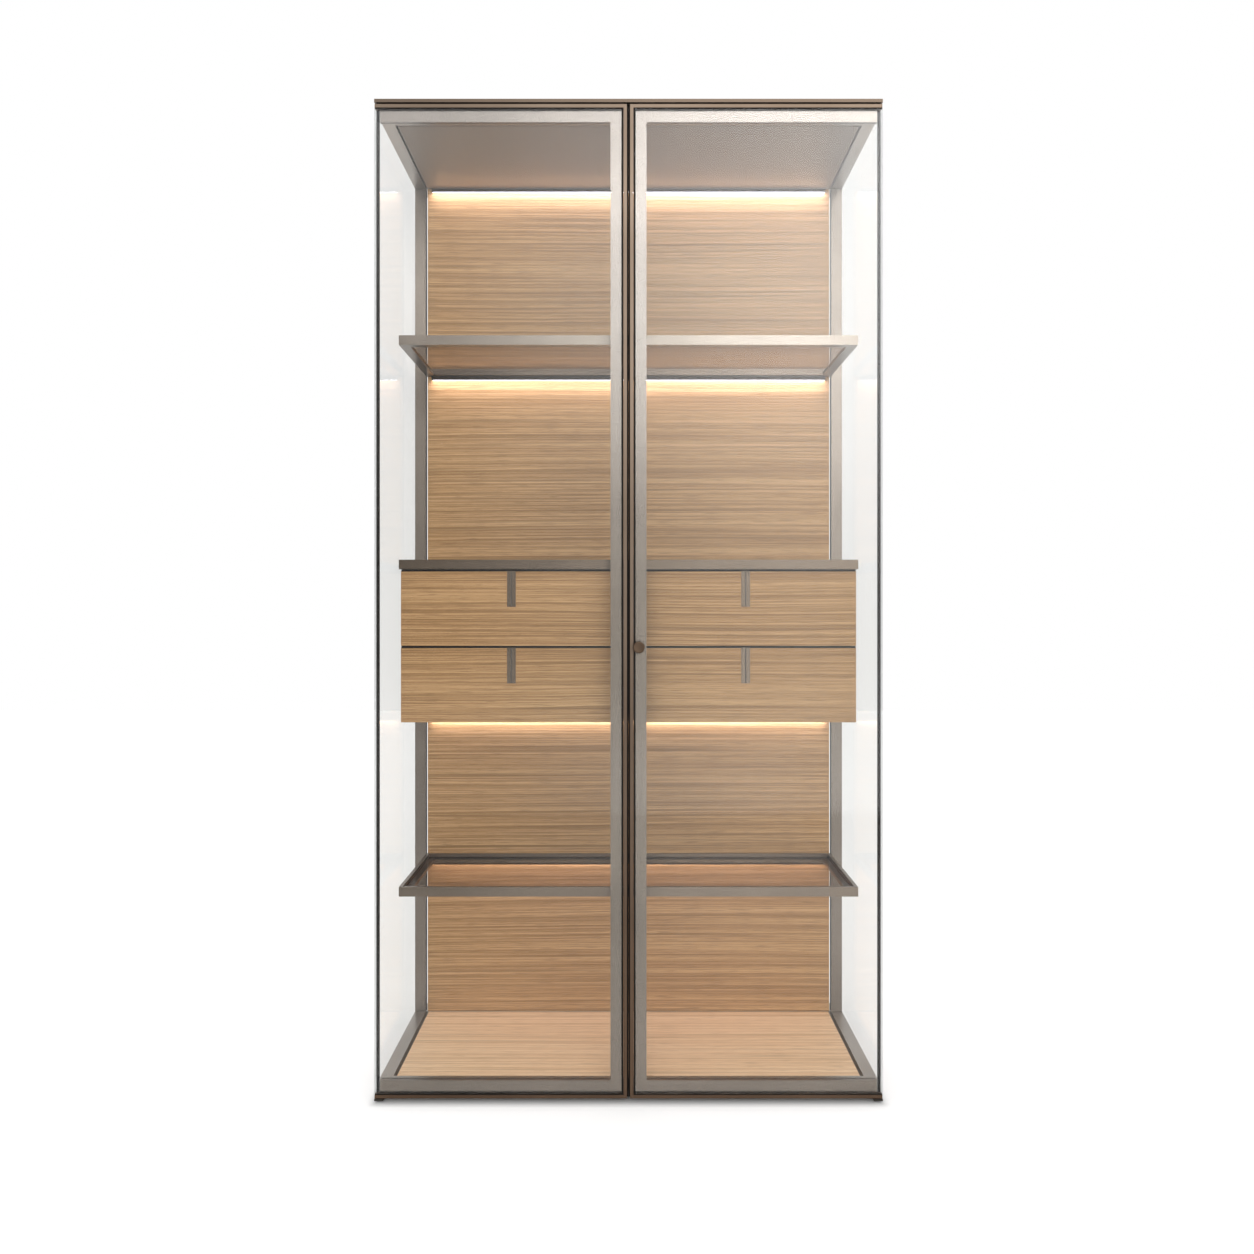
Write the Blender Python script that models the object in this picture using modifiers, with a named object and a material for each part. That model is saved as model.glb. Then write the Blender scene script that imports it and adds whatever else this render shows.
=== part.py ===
"""Free-standing glass display showcase with pivot doors, glass shelves and a hung drawer case.

Metres, +Z up. X runs across the front and Y from front to back, so the doors face -Y.
The origin is on the floor, under the middle of the whole object.
"""

from math import pi

import bmesh
import bpy
from mathutils import Matrix, Vector

# Overall sizes.
WIDTH = 1.130
HEIGHT = 2.230
CARCASS_DEPTH = 0.460

# Fits.
SEAT_GAP = 0.0003
CUT_OVERRUN = 0.010

# Carcass: glass sides on a rear frame of uprights and two rings of tube.
SIDE_GLASS = 0.008
RAIL_WIDTH = 0.028
BASE_FRONT_RAIL = 0.010
TOP_RAIL_HEIGHT = 0.030
BASE_RAIL_HEIGHT = 0.034
REAR_RAIL_DEPTH = 0.060
CAP_THICKNESS = 0.0075
FOOT_HEIGHT = 0.013
LEDGE_WIDTH = 0.015
INSET_PANEL = 0.018
UPRIGHT_FLANGE = 0.005
UPRIGHT_WEB = 0.015
PANEL_SLOT = 0.0047
FLOOR_SLOT = 0.008
PANEL_END_GAP = 0.001
BACK_PANEL = 0.018
BACK_RECESS = 0.002

# Levelling feet.
FOOT_RADIUS = 0.018
FOOT_STEM_RADIUS = 0.006
FOOT_PAD_HEIGHT = 0.006
FOOT_CHAMFER = 0.0015
FOOT_SIDE_INSET = 0.057
FOOT_FRONT_INSET = 0.0185
FOOT_BACK_INSET = 0.030

# Doors: a pane edged on three sides, with a flat band behind it.
DOOR_DEPTH = 0.018
DOOR_BACK_GAP = 0.003
DOOR_TOP_GAP = 0.0042
DOOR_FLOOR_GAP = 0.010
DOOR_MEETING_GAP = 0.007
DOOR_SIDE_INSET = 0.001
DOOR_EDGE = 0.0075
DOOR_GLASS = 0.006
DOOR_GLASS_RECESS = 0.002
BAND_WIDTH = 0.0288
BAND_END_INSET = 0.0103

# Pivots.
PIVOT_INSET = 0.0065
PIVOT_RADIUS = 0.0035
PIVOT_FIT = 0.0004
TOP_PIVOT_REACH = 0.005
BOTTOM_PIVOT_REACH = 0.005
PIVOT_BLIND = 0.0005
PIVOT_PLATE = 0.004
PIVOT_PLATE_GAP = 0.002
PIVOT_PLATE_WIDTH = 0.020
PIVOT_FOOT_DEPTH = 0.043
PIVOT_FOOT_SETBACK = 0.002

# Magnetic catch behind the meeting stiles.
CATCH_WIDTH = 0.050
CATCH_HEIGHT = 0.012
CATCH_DEPTH = 0.022
CATCH_GAP = 0.0005

# Knob on the right door.
KNOB_INSET = 0.0194
KNOB_Z = 1.012
KNOB_RADIUS = 0.013
KNOB_STEM_RADIUS = 0.006
KNOB_STEM_LENGTH = 0.008
KNOB_DISC = 0.010
KNOB_CHAMFER = 0.0012

# Shelves.
SHELF_SETBACK = 0.057
SHELF_HEIGHT = 0.022
SHELF_RAIL = 0.023
SHELF_LIP = 0.008
SHELF_GLASS = 0.006
SHELF_GLASS_DROP = 0.0075
SHELF_SIDE_GAP = 0.002
SHELF_TOPS = {"upper": 1.7245, "lower": 0.4595}
TONGUE_REACH = 0.040
TONGUE_EMBED = 0.006
TONGUE_RISE = 0.003
TONGUE_HEIGHT = 0.009
HOOK_LENGTH = 0.016

# Drawer case.
CASE_TOP = 1.210
CASE_TOP_BOARD = 0.022
CASE_SIDE = 0.018
CASE_BOTTOM_BOARD = 0.016
CASE_BOTTOM_RISE = 0.005
CASE_OVERHANG = 0.005
CASE_FRONT_CLEARANCE = 0.0015
DIVIDER = 0.022

# Drawers.
FRONT_HEIGHT = 0.1712
FRONT_THICKNESS = 0.019
FRONT_GAP = 0.0043
TRAY_RISE = 0.031
TRAY_TOP_DROP = 0.0302
TRAY_BACK_GAP = 0.0164
TRAY_WALL = 0.012
TRAY_FLOOR = 0.008
TRAY_CLEARANCE = 0.001
RUNNER_WEB = 0.003
RUNNER_HEIGHT = 0.030
RUNNER_LEDGE = 0.010
RUNNER_LEDGE_THICKNESS = 0.003
RUNNER_SETBACK = 0.004
RUNNER_BACK_GAP = 0.0217

# Drawer pulls, let into the fronts from the top edge.
PULL_WIDTH = 0.020
PULL_HEIGHT = 0.082
PULL_DEPTH = 0.008
PULL_PROUD = 0.001
PULL_GROOVE_WIDTH = 0.0025
PULL_GROOVE_DEPTH = 0.0015

# Light bars and their driver.
LIGHT_END_GAP = 0.011
LIGHT_DEPTH = 0.005
LIGHT_HEIGHT = 0.009
DRIVER_LENGTH = 0.240
DRIVER_DEPTH = 0.030
DRIVER_HEIGHT = 0.070
DRIVER_DROP = 0.180

ROUND_STEPS = 32
SIDES = (("left", -1), ("right", 1))
ROWS = ("upper", "lower")

# Planes from front to back, counted from the middle of the whole depth.
KNOB_PROJECTION = KNOB_STEM_LENGTH + KNOB_DISC
FRONT_STACK = KNOB_PROJECTION - DOOR_GLASS_RECESS + DOOR_DEPTH + DOOR_BACK_GAP
CARCASS_FRONT = FRONT_STACK - (FRONT_STACK + CARCASS_DEPTH) / 2
CARCASS_BACK = CARCASS_FRONT + CARCASS_DEPTH
DOOR_BACK = CARCASS_FRONT - DOOR_BACK_GAP
DOOR_FRONT = DOOR_BACK - DOOR_DEPTH
DOOR_GLASS_FRONT = DOOR_FRONT + DOOR_GLASS_RECESS
DOOR_GLASS_BACK = DOOR_GLASS_FRONT + DOOR_GLASS
UPRIGHT_FRONT = CARCASS_BACK - REAR_RAIL_DEPTH
BACK_PANEL_FRONT = UPRIGHT_FRONT + BACK_RECESS
BACK_PANEL_BACK = BACK_PANEL_FRONT + BACK_PANEL
SHELF_FRONT = CARCASS_FRONT + SHELF_SETBACK
SHELF_BACK = BACK_PANEL_FRONT - SEAT_GAP
FRONT_BACK = SHELF_FRONT + FRONT_THICKNESS

# Half widths.
CAP_HALF = WIDTH / 2
FRAME_HALF = CAP_HALF - SIDE_GLASS - SEAT_GAP
FRAME_INNER = FRAME_HALF - RAIL_WIDTH
PANEL_HALF = FRAME_INNER - PANEL_SLOT
LIGHT_HALF = PANEL_HALF - LIGHT_END_GAP
SHELF_HALF = FRAME_INNER - SHELF_SIDE_GAP
FRONT_HALF = SHELF_HALF - CASE_OVERHANG
CASE_INNER = FRONT_HALF - CASE_SIDE
DOOR_HALF = CAP_HALF - DOOR_SIDE_INSET
DOOR_INNER_EDGE = DOOR_MEETING_GAP / 2
KNOB_X = DOOR_INNER_EDGE + KNOB_INSET
PIVOT_X = DOOR_HALF - PIVOT_INSET
PIVOT_Y = (DOOR_FRONT + DOOR_BACK) / 2

# Heights.
BASE_TOP = FOOT_HEIGHT + BASE_RAIL_HEIGHT
CAP_BOTTOM = HEIGHT - CAP_THICKNESS
TOP_FRAME_TOP = CAP_BOTTOM - SEAT_GAP
CEILING = TOP_FRAME_TOP - TOP_RAIL_HEIGHT
DOOR_BOTTOM = DOOR_FLOOR_GAP
DOOR_TOP = CAP_BOTTOM - DOOR_TOP_GAP
CASE_CEILING = CASE_TOP - CASE_TOP_BOARD
FRONT_TOPS = {
    "upper": CASE_CEILING - FRONT_GAP,
    "lower": CASE_CEILING - FRONT_GAP - FRONT_HEIGHT - FRONT_GAP,
}
CASE_BOTTOM = FRONT_TOPS["lower"] - FRONT_HEIGHT + CASE_BOTTOM_RISE


def clear_scene():
    """Remove whatever the opening scene holds."""
    for old in list(bpy.data.objects):
        bpy.data.objects.remove(old, do_unlink=True)


def new_collection(name):
    """Add a collection to the scene."""
    group = bpy.data.collections.new(name)
    bpy.context.scene.collection.children.link(group)
    return group


clear_scene()
PARTS = new_collection("glass_display_showcase")
CUTTERS = new_collection("cutters")


def finish(name, colour, metallic, roughness, alpha=1.0):
    """A plain Principled material."""
    material = bpy.data.materials.new(name)
    material.use_nodes = True
    shader = material.node_tree.nodes["Principled BSDF"]
    shader.inputs["Base Color"].default_value = (*colour, 1.0)
    shader.inputs["Metallic"].default_value = metallic
    shader.inputs["Roughness"].default_value = roughness
    shader.inputs["Alpha"].default_value = alpha
    material.diffuse_color = (*colour, alpha)
    return material


BRONZE = finish("bronze_anodised", (0.20, 0.14, 0.10), 0.9, 0.38)
SATIN = finish("champagne_satin", (0.36, 0.32, 0.28), 0.9, 0.35)
LINING = finish("ceiling_lining", (0.22, 0.19, 0.16), 0.2, 0.45)
WOOD = finish("light_walnut", (0.46, 0.31, 0.19), 0.0, 0.5)
TRAY_WOOD = finish("tray_board", (0.40, 0.29, 0.19), 0.0, 0.55)
CLEAR_GLASS = finish("clear_glass", (0.92, 0.95, 0.94), 0.0, 0.05, 0.25)
TINTED_GLASS = finish("tinted_glass", (0.45, 0.40, 0.35), 0.0, 0.08, 0.45)
STEEL = finish("zinc_steel", (0.55, 0.55, 0.56), 1.0, 0.4)
RUBBER = finish("black_polymer", (0.03, 0.03, 0.03), 0.0, 0.6)
LIGHT = finish("light_bar", (0.95, 0.86, 0.70), 0.0, 0.4)


def across(sign, near, far):
    """The span between two distances from the middle, on one side of the object."""
    return tuple(sorted((sign * near, sign * far)))


def grow(span, amount):
    """A span made longer at both ends, or shorter with a negative amount."""
    return (span[0] - amount, span[1] + amount)


def centred(middle, size):
    """A span of a given size about its middle."""
    return (middle - size / 2, middle + size / 2)


def add_object(name, mesh, location, material, parent):
    """Put a mesh in the model at a world location, under its parent if it has one."""
    piece = bpy.data.objects.new(name, mesh)
    mesh.materials.append(material)
    PARTS.objects.link(piece)
    piece.parent = parent
    piece.location = location - parent.location if parent else location
    return piece


def add_cutter(name, mesh, location):
    """Put a mesh among the cutters, shown as wire and left out of the model."""
    tool = bpy.data.objects.new(name, mesh)
    CUTTERS.objects.link(tool)
    tool.location = location
    tool.hide_render = True
    tool.display_type = "WIRE"
    return tool


def block_mesh(name, x, y, z):
    """A box mesh over three spans, and the place of its centre."""
    size = Vector(span[1] - span[0] for span in (x, y, z))
    middle = Vector((span[0] + span[1]) / 2 for span in (x, y, z))
    shape = bmesh.new()
    bmesh.ops.create_cube(shape, size=1.0, matrix=Matrix.Diagonal(size.to_4d()))
    mesh = bpy.data.meshes.new(name)
    shape.to_mesh(mesh)
    shape.free()
    return mesh, middle


def block(name, x, y, z, material, parent=None):
    """A box-shaped piece over three spans."""
    mesh, middle = block_mesh(name, x, y, z)
    return add_object(name, mesh, middle, material, parent)


def block_cutter(name, x, y, z):
    """A box-shaped cutter over three spans."""
    return add_cutter(name, *block_mesh(name, x, y, z))


def post_mesh(name, radius, z):
    """An upright cylinder mesh over a height span."""
    shape = bmesh.new()
    bmesh.ops.create_cone(
        shape, cap_ends=True, segments=ROUND_STEPS, radius1=radius, radius2=radius, depth=z[1] - z[0]
    )
    mesh = bpy.data.meshes.new(name)
    shape.to_mesh(mesh)
    shape.free()
    mesh.shade_smooth()
    mesh.set_sharp_from_angle(angle=pi / 4)
    return mesh


def post(name, x, y, z, radius, material, parent=None):
    """An upright round piece."""
    middle = Vector((x, y, (z[0] + z[1]) / 2))
    return add_object(name, post_mesh(name, radius, z), middle, material, parent)


def post_cutter(name, x, y, z, radius):
    """An upright round cutter."""
    return add_cutter(name, post_mesh(name, radius, z), Vector((x, y, (z[0] + z[1]) / 2)))


def turned(name, profile, location, material, parent=None):
    """A piece turned about its own Z from an outline of (radius, height), top to bottom."""
    outline = bpy.data.meshes.new(name)
    points = [(radius, 0.0, height) for radius, height in profile]
    edges = [(first, first + 1) for first in range(len(points) - 1)]
    outline.from_pydata(points, edges, [])
    piece = add_object(name, outline, location, material, parent)
    screw = piece.modifiers.new("turn", "SCREW")
    screw.steps = ROUND_STEPS
    screw.render_steps = ROUND_STEPS
    screw.use_merge_vertices = True
    screw.merge_threshold = 0.00001
    return piece


def combine(piece, tool, operation):
    """Cut a tool out of a piece, or join it on."""
    modifier = piece.modifiers.new(tool.name, "BOOLEAN")
    modifier.operation = operation
    modifier.solver = "EXACT"
    modifier.object = tool


def cut(piece, tool):
    """Cut a tool out of a piece."""
    combine(piece, tool, "DIFFERENCE")


def join(piece, tool):
    """Join a tool on to a piece."""
    combine(piece, tool, "UNION")


def axis_empty(name, location):
    """An empty on a joint's axis, which carries the pieces that move there."""
    empty = bpy.data.objects.new(name, None)
    PARTS.objects.link(empty)
    empty.location = location
    return empty


def make_frames():
    """The two rings of tube, each with a ledge for the panel that is let into it."""
    whole_y = (CARCASS_FRONT, CARCASS_BACK)
    rings = (
        ("top_frame", (CEILING, TOP_FRAME_TOP), RAIL_WIDTH, -1),
        ("base_frame", (FOOT_HEIGHT, BASE_TOP), BASE_FRONT_RAIL, 1),
    )
    for name, z, front_rail, panel_side in rings:
        ring = block(name, (-FRAME_HALF, FRAME_HALF), whole_y, z, SATIN)
        opening_y = (CARCASS_FRONT + front_rail, UPRIGHT_FRONT)
        through_x = (LEDGE_WIDTH - FRAME_INNER, FRAME_INNER - LEDGE_WIDTH)
        through_y = grow(opening_y, -LEDGE_WIDTH)
        cut(ring, block_cutter(name + "_opening", through_x, through_y, grow(z, CUT_OVERRUN)))
        if panel_side > 0:
            recess_z = (z[1] - INSET_PANEL - SEAT_GAP, z[1] + CUT_OVERRUN)
        else:
            recess_z = (z[0] - CUT_OVERRUN, z[0] + INSET_PANEL + SEAT_GAP)
        cut(ring, block_cutter(name + "_recess", (-FRAME_INNER, FRAME_INNER), opening_y, recess_z))


def make_panels():
    """Ceiling, floor and back panels, with a narrow slot at each side and in front of the ceiling."""
    x = (-PANEL_HALF, PANEL_HALF)
    ceiling_y = (CARCASS_FRONT + RAIL_WIDTH + PANEL_SLOT, UPRIGHT_FRONT - PANEL_END_GAP)
    block("ceiling_panel", x, ceiling_y, (CEILING, CEILING + INSET_PANEL), LINING)
    floor_x = (FLOOR_SLOT - FRAME_INNER, FRAME_INNER - FLOOR_SLOT)
    floor_y = grow((CARCASS_FRONT + BASE_FRONT_RAIL, UPRIGHT_FRONT), -PANEL_END_GAP)
    block("floor_panel", floor_x, floor_y, (BASE_TOP - INSET_PANEL, BASE_TOP), WOOD)
    back_z = (BASE_TOP + SEAT_GAP, CEILING - SEAT_GAP)
    block("back_panel", x, (BACK_PANEL_FRONT, BACK_PANEL_BACK), back_z, WOOD)


def make_uprights_and_sides():
    """Rear uprights between the rings, angles in plan, and the glass that covers the sides."""
    for side, sign in SIDES:
        upright_x = across(sign, FRAME_INNER, FRAME_HALF)
        upright_z = (BASE_TOP + SEAT_GAP, CEILING - SEAT_GAP)
        upright = block(f"upright_{side}", upright_x, (UPRIGHT_FRONT, CARCASS_BACK), upright_z, SATIN)
        rebate_x = across(sign, FRAME_INNER - CUT_OVERRUN, FRAME_HALF - UPRIGHT_WEB)
        rebate_y = (UPRIGHT_FRONT + UPRIGHT_FLANGE, CARCASS_BACK + CUT_OVERRUN)
        rebate_z = grow(upright_z, CUT_OVERRUN)
        cut(upright, block_cutter(f"upright_{side}_rebate", rebate_x, rebate_y, rebate_z))
        glass_x = across(sign, CAP_HALF - SIDE_GLASS, CAP_HALF)
        glass_z = (FOOT_HEIGHT, TOP_FRAME_TOP)
        block(f"side_glass_{side}", glass_x, (CARCASS_FRONT, CARCASS_BACK), glass_z, CLEAR_GLASS)


def make_cap():
    """The top sheet, with a blind hole over each door's pivot."""
    cap = block("top_cap", (-CAP_HALF, CAP_HALF), (DOOR_FRONT, CARCASS_BACK), (CAP_BOTTOM, HEIGHT), BRONZE)
    hole_z = (CAP_BOTTOM - CUT_OVERRUN, CAP_BOTTOM + TOP_PIVOT_REACH + PIVOT_BLIND)
    for side, sign in SIDES:
        hole = post_cutter(f"cap_hole_{side}", sign * PIVOT_X, PIVOT_Y, hole_z, PIVOT_RADIUS + PIVOT_FIT)
        cut(cap, hole)


def make_feet():
    """Levelling feet under the corners of the base frame."""
    profile = (
        (0.0, FOOT_HEIGHT - SEAT_GAP),
        (FOOT_STEM_RADIUS, FOOT_HEIGHT - SEAT_GAP),
        (FOOT_STEM_RADIUS, FOOT_PAD_HEIGHT),
        (FOOT_RADIUS, FOOT_PAD_HEIGHT),
        (FOOT_RADIUS, FOOT_CHAMFER),
        (FOOT_RADIUS - FOOT_CHAMFER, 0.0),
        (0.0, 0.0),
    )
    depths = {"front": CARCASS_FRONT + FOOT_FRONT_INSET, "back": CARCASS_BACK - FOOT_BACK_INSET}
    for side, sign in SIDES:
        for end, y in depths.items():
            x = sign * (FRAME_HALF - FOOT_SIDE_INSET)
            turned(f"foot_{end}_{side}", profile, Vector((x, y, 0.0)), RUBBER)


def make_pivot_brackets():
    """Bottom pivots: a plate under the door's corner, its pin, and its foot under the base frame."""
    plate_z = (DOOR_BOTTOM - PIVOT_PLATE_GAP - PIVOT_PLATE, DOOR_BOTTOM - PIVOT_PLATE_GAP)
    foot_y = (CARCASS_FRONT + PIVOT_FOOT_SETBACK, CARCASS_FRONT + PIVOT_FOOT_DEPTH)
    foot_z = (plate_z[0], FOOT_HEIGHT - SEAT_GAP)
    pin_z = (plate_z[0] + PIVOT_PLATE / 2, DOOR_BOTTOM + BOTTOM_PIVOT_REACH)
    for side, sign in SIDES:
        name = f"pivot_bracket_{side}"
        x = across(sign, CAP_HALF - PIVOT_PLATE_WIDTH, CAP_HALF)
        bracket = block(name, x, (DOOR_FRONT, foot_y[1]), plate_z, STEEL)
        join(bracket, block_cutter(name + "_foot", x, foot_y, foot_z))
        join(bracket, post_cutter(name + "_pin", sign * PIVOT_X, PIVOT_Y, pin_z, PIVOT_RADIUS))


def make_catch():
    """Magnetic catch under the front of the top frame, just behind the bands of both doors."""
    y = (DOOR_BACK + CATCH_GAP, DOOR_BACK + CATCH_GAP + CATCH_DEPTH)
    z = (CEILING - SEAT_GAP - CATCH_HEIGHT, CEILING - SEAT_GAP)
    block("door_catch", centred(0.0, CATCH_WIDTH), y, z, RUBBER)


def make_doors():
    """Each door: pane, edge profile and band, on an empty at its pivots."""
    door_y = (DOOR_FRONT, DOOR_BACK)
    door_z = (DOOR_BOTTOM, DOOR_TOP)
    pane_z = grow(door_z, -DOOR_EDGE - SEAT_GAP)
    pane_start = DOOR_INNER_EDGE + DOOR_EDGE + SEAT_GAP
    for side, sign in SIDES:
        axis = axis_empty(f"door_{side}_axis", Vector((sign * PIVOT_X, PIVOT_Y, 0.0)))
        name = f"door_{side}_frame"
        frame = block(name, across(sign, DOOR_INNER_EDGE, DOOR_HALF), door_y, door_z, BRONZE, axis)
        inside_x = across(sign, DOOR_INNER_EDGE + DOOR_EDGE, DOOR_HALF + CUT_OVERRUN)
        inside_z = grow(door_z, -DOOR_EDGE)
        cut(frame, block_cutter(name + "_inside", inside_x, grow(door_y, CUT_OVERRUN), inside_z))
        hole_z = (DOOR_BOTTOM - CUT_OVERRUN, DOOR_BOTTOM + BOTTOM_PIVOT_REACH + PIVOT_BLIND)
        hole_radius = PIVOT_RADIUS + PIVOT_FIT
        cut(frame, post_cutter(name + "_hole", sign * PIVOT_X, PIVOT_Y, hole_z, hole_radius))

        pane_x = across(sign, pane_start, DOOR_HALF)
        block(f"door_{side}_glass", pane_x, (DOOR_GLASS_FRONT, DOOR_GLASS_BACK), pane_z, CLEAR_GLASS, axis)

        name = f"door_{side}_band"
        band_x = across(sign, pane_start, DOOR_HALF - BAND_END_INSET)
        band_y = (DOOR_GLASS_BACK + SEAT_GAP, DOOR_BACK)
        band = block(name, band_x, band_y, pane_z, SATIN, axis)
        inside_x = across(sign, pane_start + BAND_WIDTH, DOOR_HALF)
        inside_z = grow(pane_z, -BAND_WIDTH)
        cut(band, block_cutter(name + "_inside", inside_x, grow(band_y, CUT_OVERRUN), inside_z))

        pin_z = (DOOR_TOP + SEAT_GAP, CAP_BOTTOM + TOP_PIVOT_REACH)
        post(f"door_{side}_top_pivot", sign * PIVOT_X, PIVOT_Y, pin_z, PIVOT_RADIUS, STEEL, axis)
        if sign > 0:
            make_knob(axis)


def make_knob(axis):
    """Round knob on the meeting side of the right door, on the face of its glass."""
    profile = (
        (0.0, KNOB_PROJECTION),
        (KNOB_RADIUS - KNOB_CHAMFER, KNOB_PROJECTION),
        (KNOB_RADIUS, KNOB_PROJECTION - KNOB_CHAMFER),
        (KNOB_RADIUS, KNOB_STEM_LENGTH),
        (KNOB_STEM_RADIUS, KNOB_STEM_LENGTH),
        (KNOB_STEM_RADIUS, SEAT_GAP),
        (0.0, SEAT_GAP),
    )
    knob = turned("door_knob", profile, Vector((KNOB_X, DOOR_GLASS_FRONT, KNOB_Z)), BRONZE, axis)
    knob.rotation_euler = (pi / 2, 0.0, 0.0)


def make_light(name, top):
    """A light bar against the back panel, under the piece whose underside is given."""
    y = (SHELF_BACK - LIGHT_DEPTH, SHELF_BACK)
    z = (top - SEAT_GAP - LIGHT_HEIGHT, top - SEAT_GAP)
    block(name, (-LIGHT_HALF, LIGHT_HALF), y, z, LIGHT)


def make_shelves():
    """Framed glass shelves, hooked through the slots beside the back panel."""
    x = (-SHELF_HALF, SHELF_HALF)
    y = (SHELF_FRONT, SHELF_BACK)
    for level, top in SHELF_TOPS.items():
        name = f"{level}_shelf_frame"
        z = (top - SHELF_HEIGHT, top)
        frame = block(name, x, y, z, SATIN)
        opening = (grow(x, -SHELF_RAIL), grow(y, -SHELF_RAIL), grow(z, CUT_OVERRUN))
        cut(frame, block_cutter(name + "_opening", *opening))
        glass_z = (top - SHELF_GLASS_DROP - SHELF_GLASS, top - SHELF_GLASS_DROP)
        seat_z = (glass_z[0] - SEAT_GAP, top + CUT_OVERRUN)
        cut(frame, block_cutter(name + "_seat", grow(x, -SHELF_LIP), grow(y, -SHELF_LIP), seat_z))
        tongue_y = (SHELF_BACK - TONGUE_EMBED, SHELF_BACK + TONGUE_REACH)
        hook_y = (tongue_y[1] - HOOK_LENGTH, tongue_y[1])
        tongue_z = (z[0] + TONGUE_RISE, z[0] + TONGUE_RISE + TONGUE_HEIGHT)
        for side, sign in SIDES:
            tongue_x = across(sign, PANEL_HALF + SEAT_GAP, SHELF_HALF)
            join(frame, block_cutter(f"{name}_tongue_{side}", tongue_x, tongue_y, tongue_z))
            hook_x = across(sign, PANEL_HALF + SEAT_GAP, FRAME_INNER - SEAT_GAP)
            join(frame, block_cutter(f"{name}_hook_{side}", hook_x, hook_y, tongue_z))

        pane_inset = SHELF_LIP + SEAT_GAP
        block(f"{level}_shelf_glass", grow(x, -pane_inset), grow(y, -pane_inset), glass_z, TINTED_GLASS)
        make_light(f"{level}_shelf_light", z[0])


def make_drawer_case():
    """The hung case: top board, sides, divider and bottom, fixed to the back panel."""
    inside_y = (FRONT_BACK + CASE_FRONT_CLEARANCE, SHELF_BACK)
    side_z = (CASE_BOTTOM, CASE_CEILING - SEAT_GAP)
    block("case_top", (-SHELF_HALF, SHELF_HALF), (SHELF_FRONT, SHELF_BACK), (CASE_CEILING, CASE_TOP), SATIN)
    for side, sign in SIDES:
        block(f"case_side_{side}", across(sign, CASE_INNER, FRONT_HALF), inside_y, side_z, TRAY_WOOD)
    bottom_z = (CASE_BOTTOM, CASE_BOTTOM + CASE_BOTTOM_BOARD)
    bottom_half = CASE_INNER - SEAT_GAP
    block("case_bottom", (-bottom_half, bottom_half), inside_y, bottom_z, TRAY_WOOD)
    divider_z = (bottom_z[1] + SEAT_GAP, side_z[1])
    block("case_divider", centred(0.0, DIVIDER), (SHELF_FRONT, SHELF_BACK), divider_z, SATIN)
    make_light("case_light", CASE_BOTTOM)


def make_runner(name, sign, wall, tray_bottom):
    """An angle on a case wall. The tray rides on its ledge. Sign points from the wall to the tray."""
    y = (FRONT_BACK + RUNNER_SETBACK, SHELF_BACK - RUNNER_BACK_GAP)
    ledge_z = (tray_bottom - SEAT_GAP - RUNNER_LEDGE_THICKNESS, tray_bottom - SEAT_GAP)
    face = wall + sign * SEAT_GAP
    web_x = tuple(sorted((face, face + sign * RUNNER_WEB)))
    ledge_x = tuple(sorted((face, face + sign * (RUNNER_WEB + RUNNER_LEDGE))))
    runner = block(name, web_x, y, (ledge_z[0], ledge_z[0] + RUNNER_HEIGHT), STEEL)
    join(runner, block_cutter(name + "_ledge", ledge_x, y, ledge_z))


def make_drawers():
    """Four drawers: front, tray and pull on an empty each, with their fixed runners."""
    inner = DIVIDER / 2 + FRONT_GAP
    web = SEAT_GAP + RUNNER_WEB + TRAY_CLEARANCE
    for row in ROWS:
        top = FRONT_TOPS[row]
        bottom = top - FRONT_HEIGHT
        tray_z = (bottom + TRAY_RISE, top - TRAY_TOP_DROP)
        tray_y = (FRONT_BACK + SEAT_GAP, SHELF_BACK - TRAY_BACK_GAP)
        for side, sign in SIDES:
            name = f"drawer_{row}_{side}"
            middle = sign * (inner + FRONT_HALF) / 2
            axis = axis_empty(name + "_slide", Vector((middle, SHELF_FRONT, bottom)))

            front_x = across(sign, inner, FRONT_HALF)
            front = block(name + "_front", front_x, (SHELF_FRONT, FRONT_BACK), (bottom, top), WOOD, axis)
            recess_x = centred(middle, PULL_WIDTH)
            recess_y = (SHELF_FRONT - CUT_OVERRUN, SHELF_FRONT + PULL_DEPTH)
            recess_z = (top - PULL_HEIGHT, top + CUT_OVERRUN)
            cut(front, block_cutter(name + "_recess", recess_x, recess_y, recess_z))

            pull_x = grow(recess_x, -SEAT_GAP)
            pull_y = (SHELF_FRONT - PULL_PROUD, SHELF_FRONT + PULL_DEPTH - SEAT_GAP)
            pull = block(name + "_pull", pull_x, pull_y, (recess_z[0] + SEAT_GAP, top), SATIN, axis)
            groove_y = (pull_y[0] - CUT_OVERRUN, pull_y[0] + PULL_GROOVE_DEPTH)
            groove_x = centred(middle, PULL_GROOVE_WIDTH)
            groove_z = grow((recess_z[0], top), CUT_OVERRUN)
            cut(pull, block_cutter(name + "_groove", groove_x, groove_y, groove_z))

            tray_x = across(sign, DIVIDER / 2 + web, CASE_INNER - web)
            tray = block(name + "_tray", tray_x, tray_y, tray_z, TRAY_WOOD, axis)
            hollow_z = (tray_z[0] + TRAY_FLOOR, tray_z[1] + CUT_OVERRUN)
            hollow = (grow(tray_x, -TRAY_WALL), grow(tray_y, -TRAY_WALL), hollow_z)
            cut(tray, block_cutter(name + "_hollow", *hollow))

            make_runner(f"runner_{row}_{side}_inner", sign, sign * DIVIDER / 2, tray_z[0])
            make_runner(f"runner_{row}_{side}_outer", -sign, sign * CASE_INNER, tray_z[0])


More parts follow.
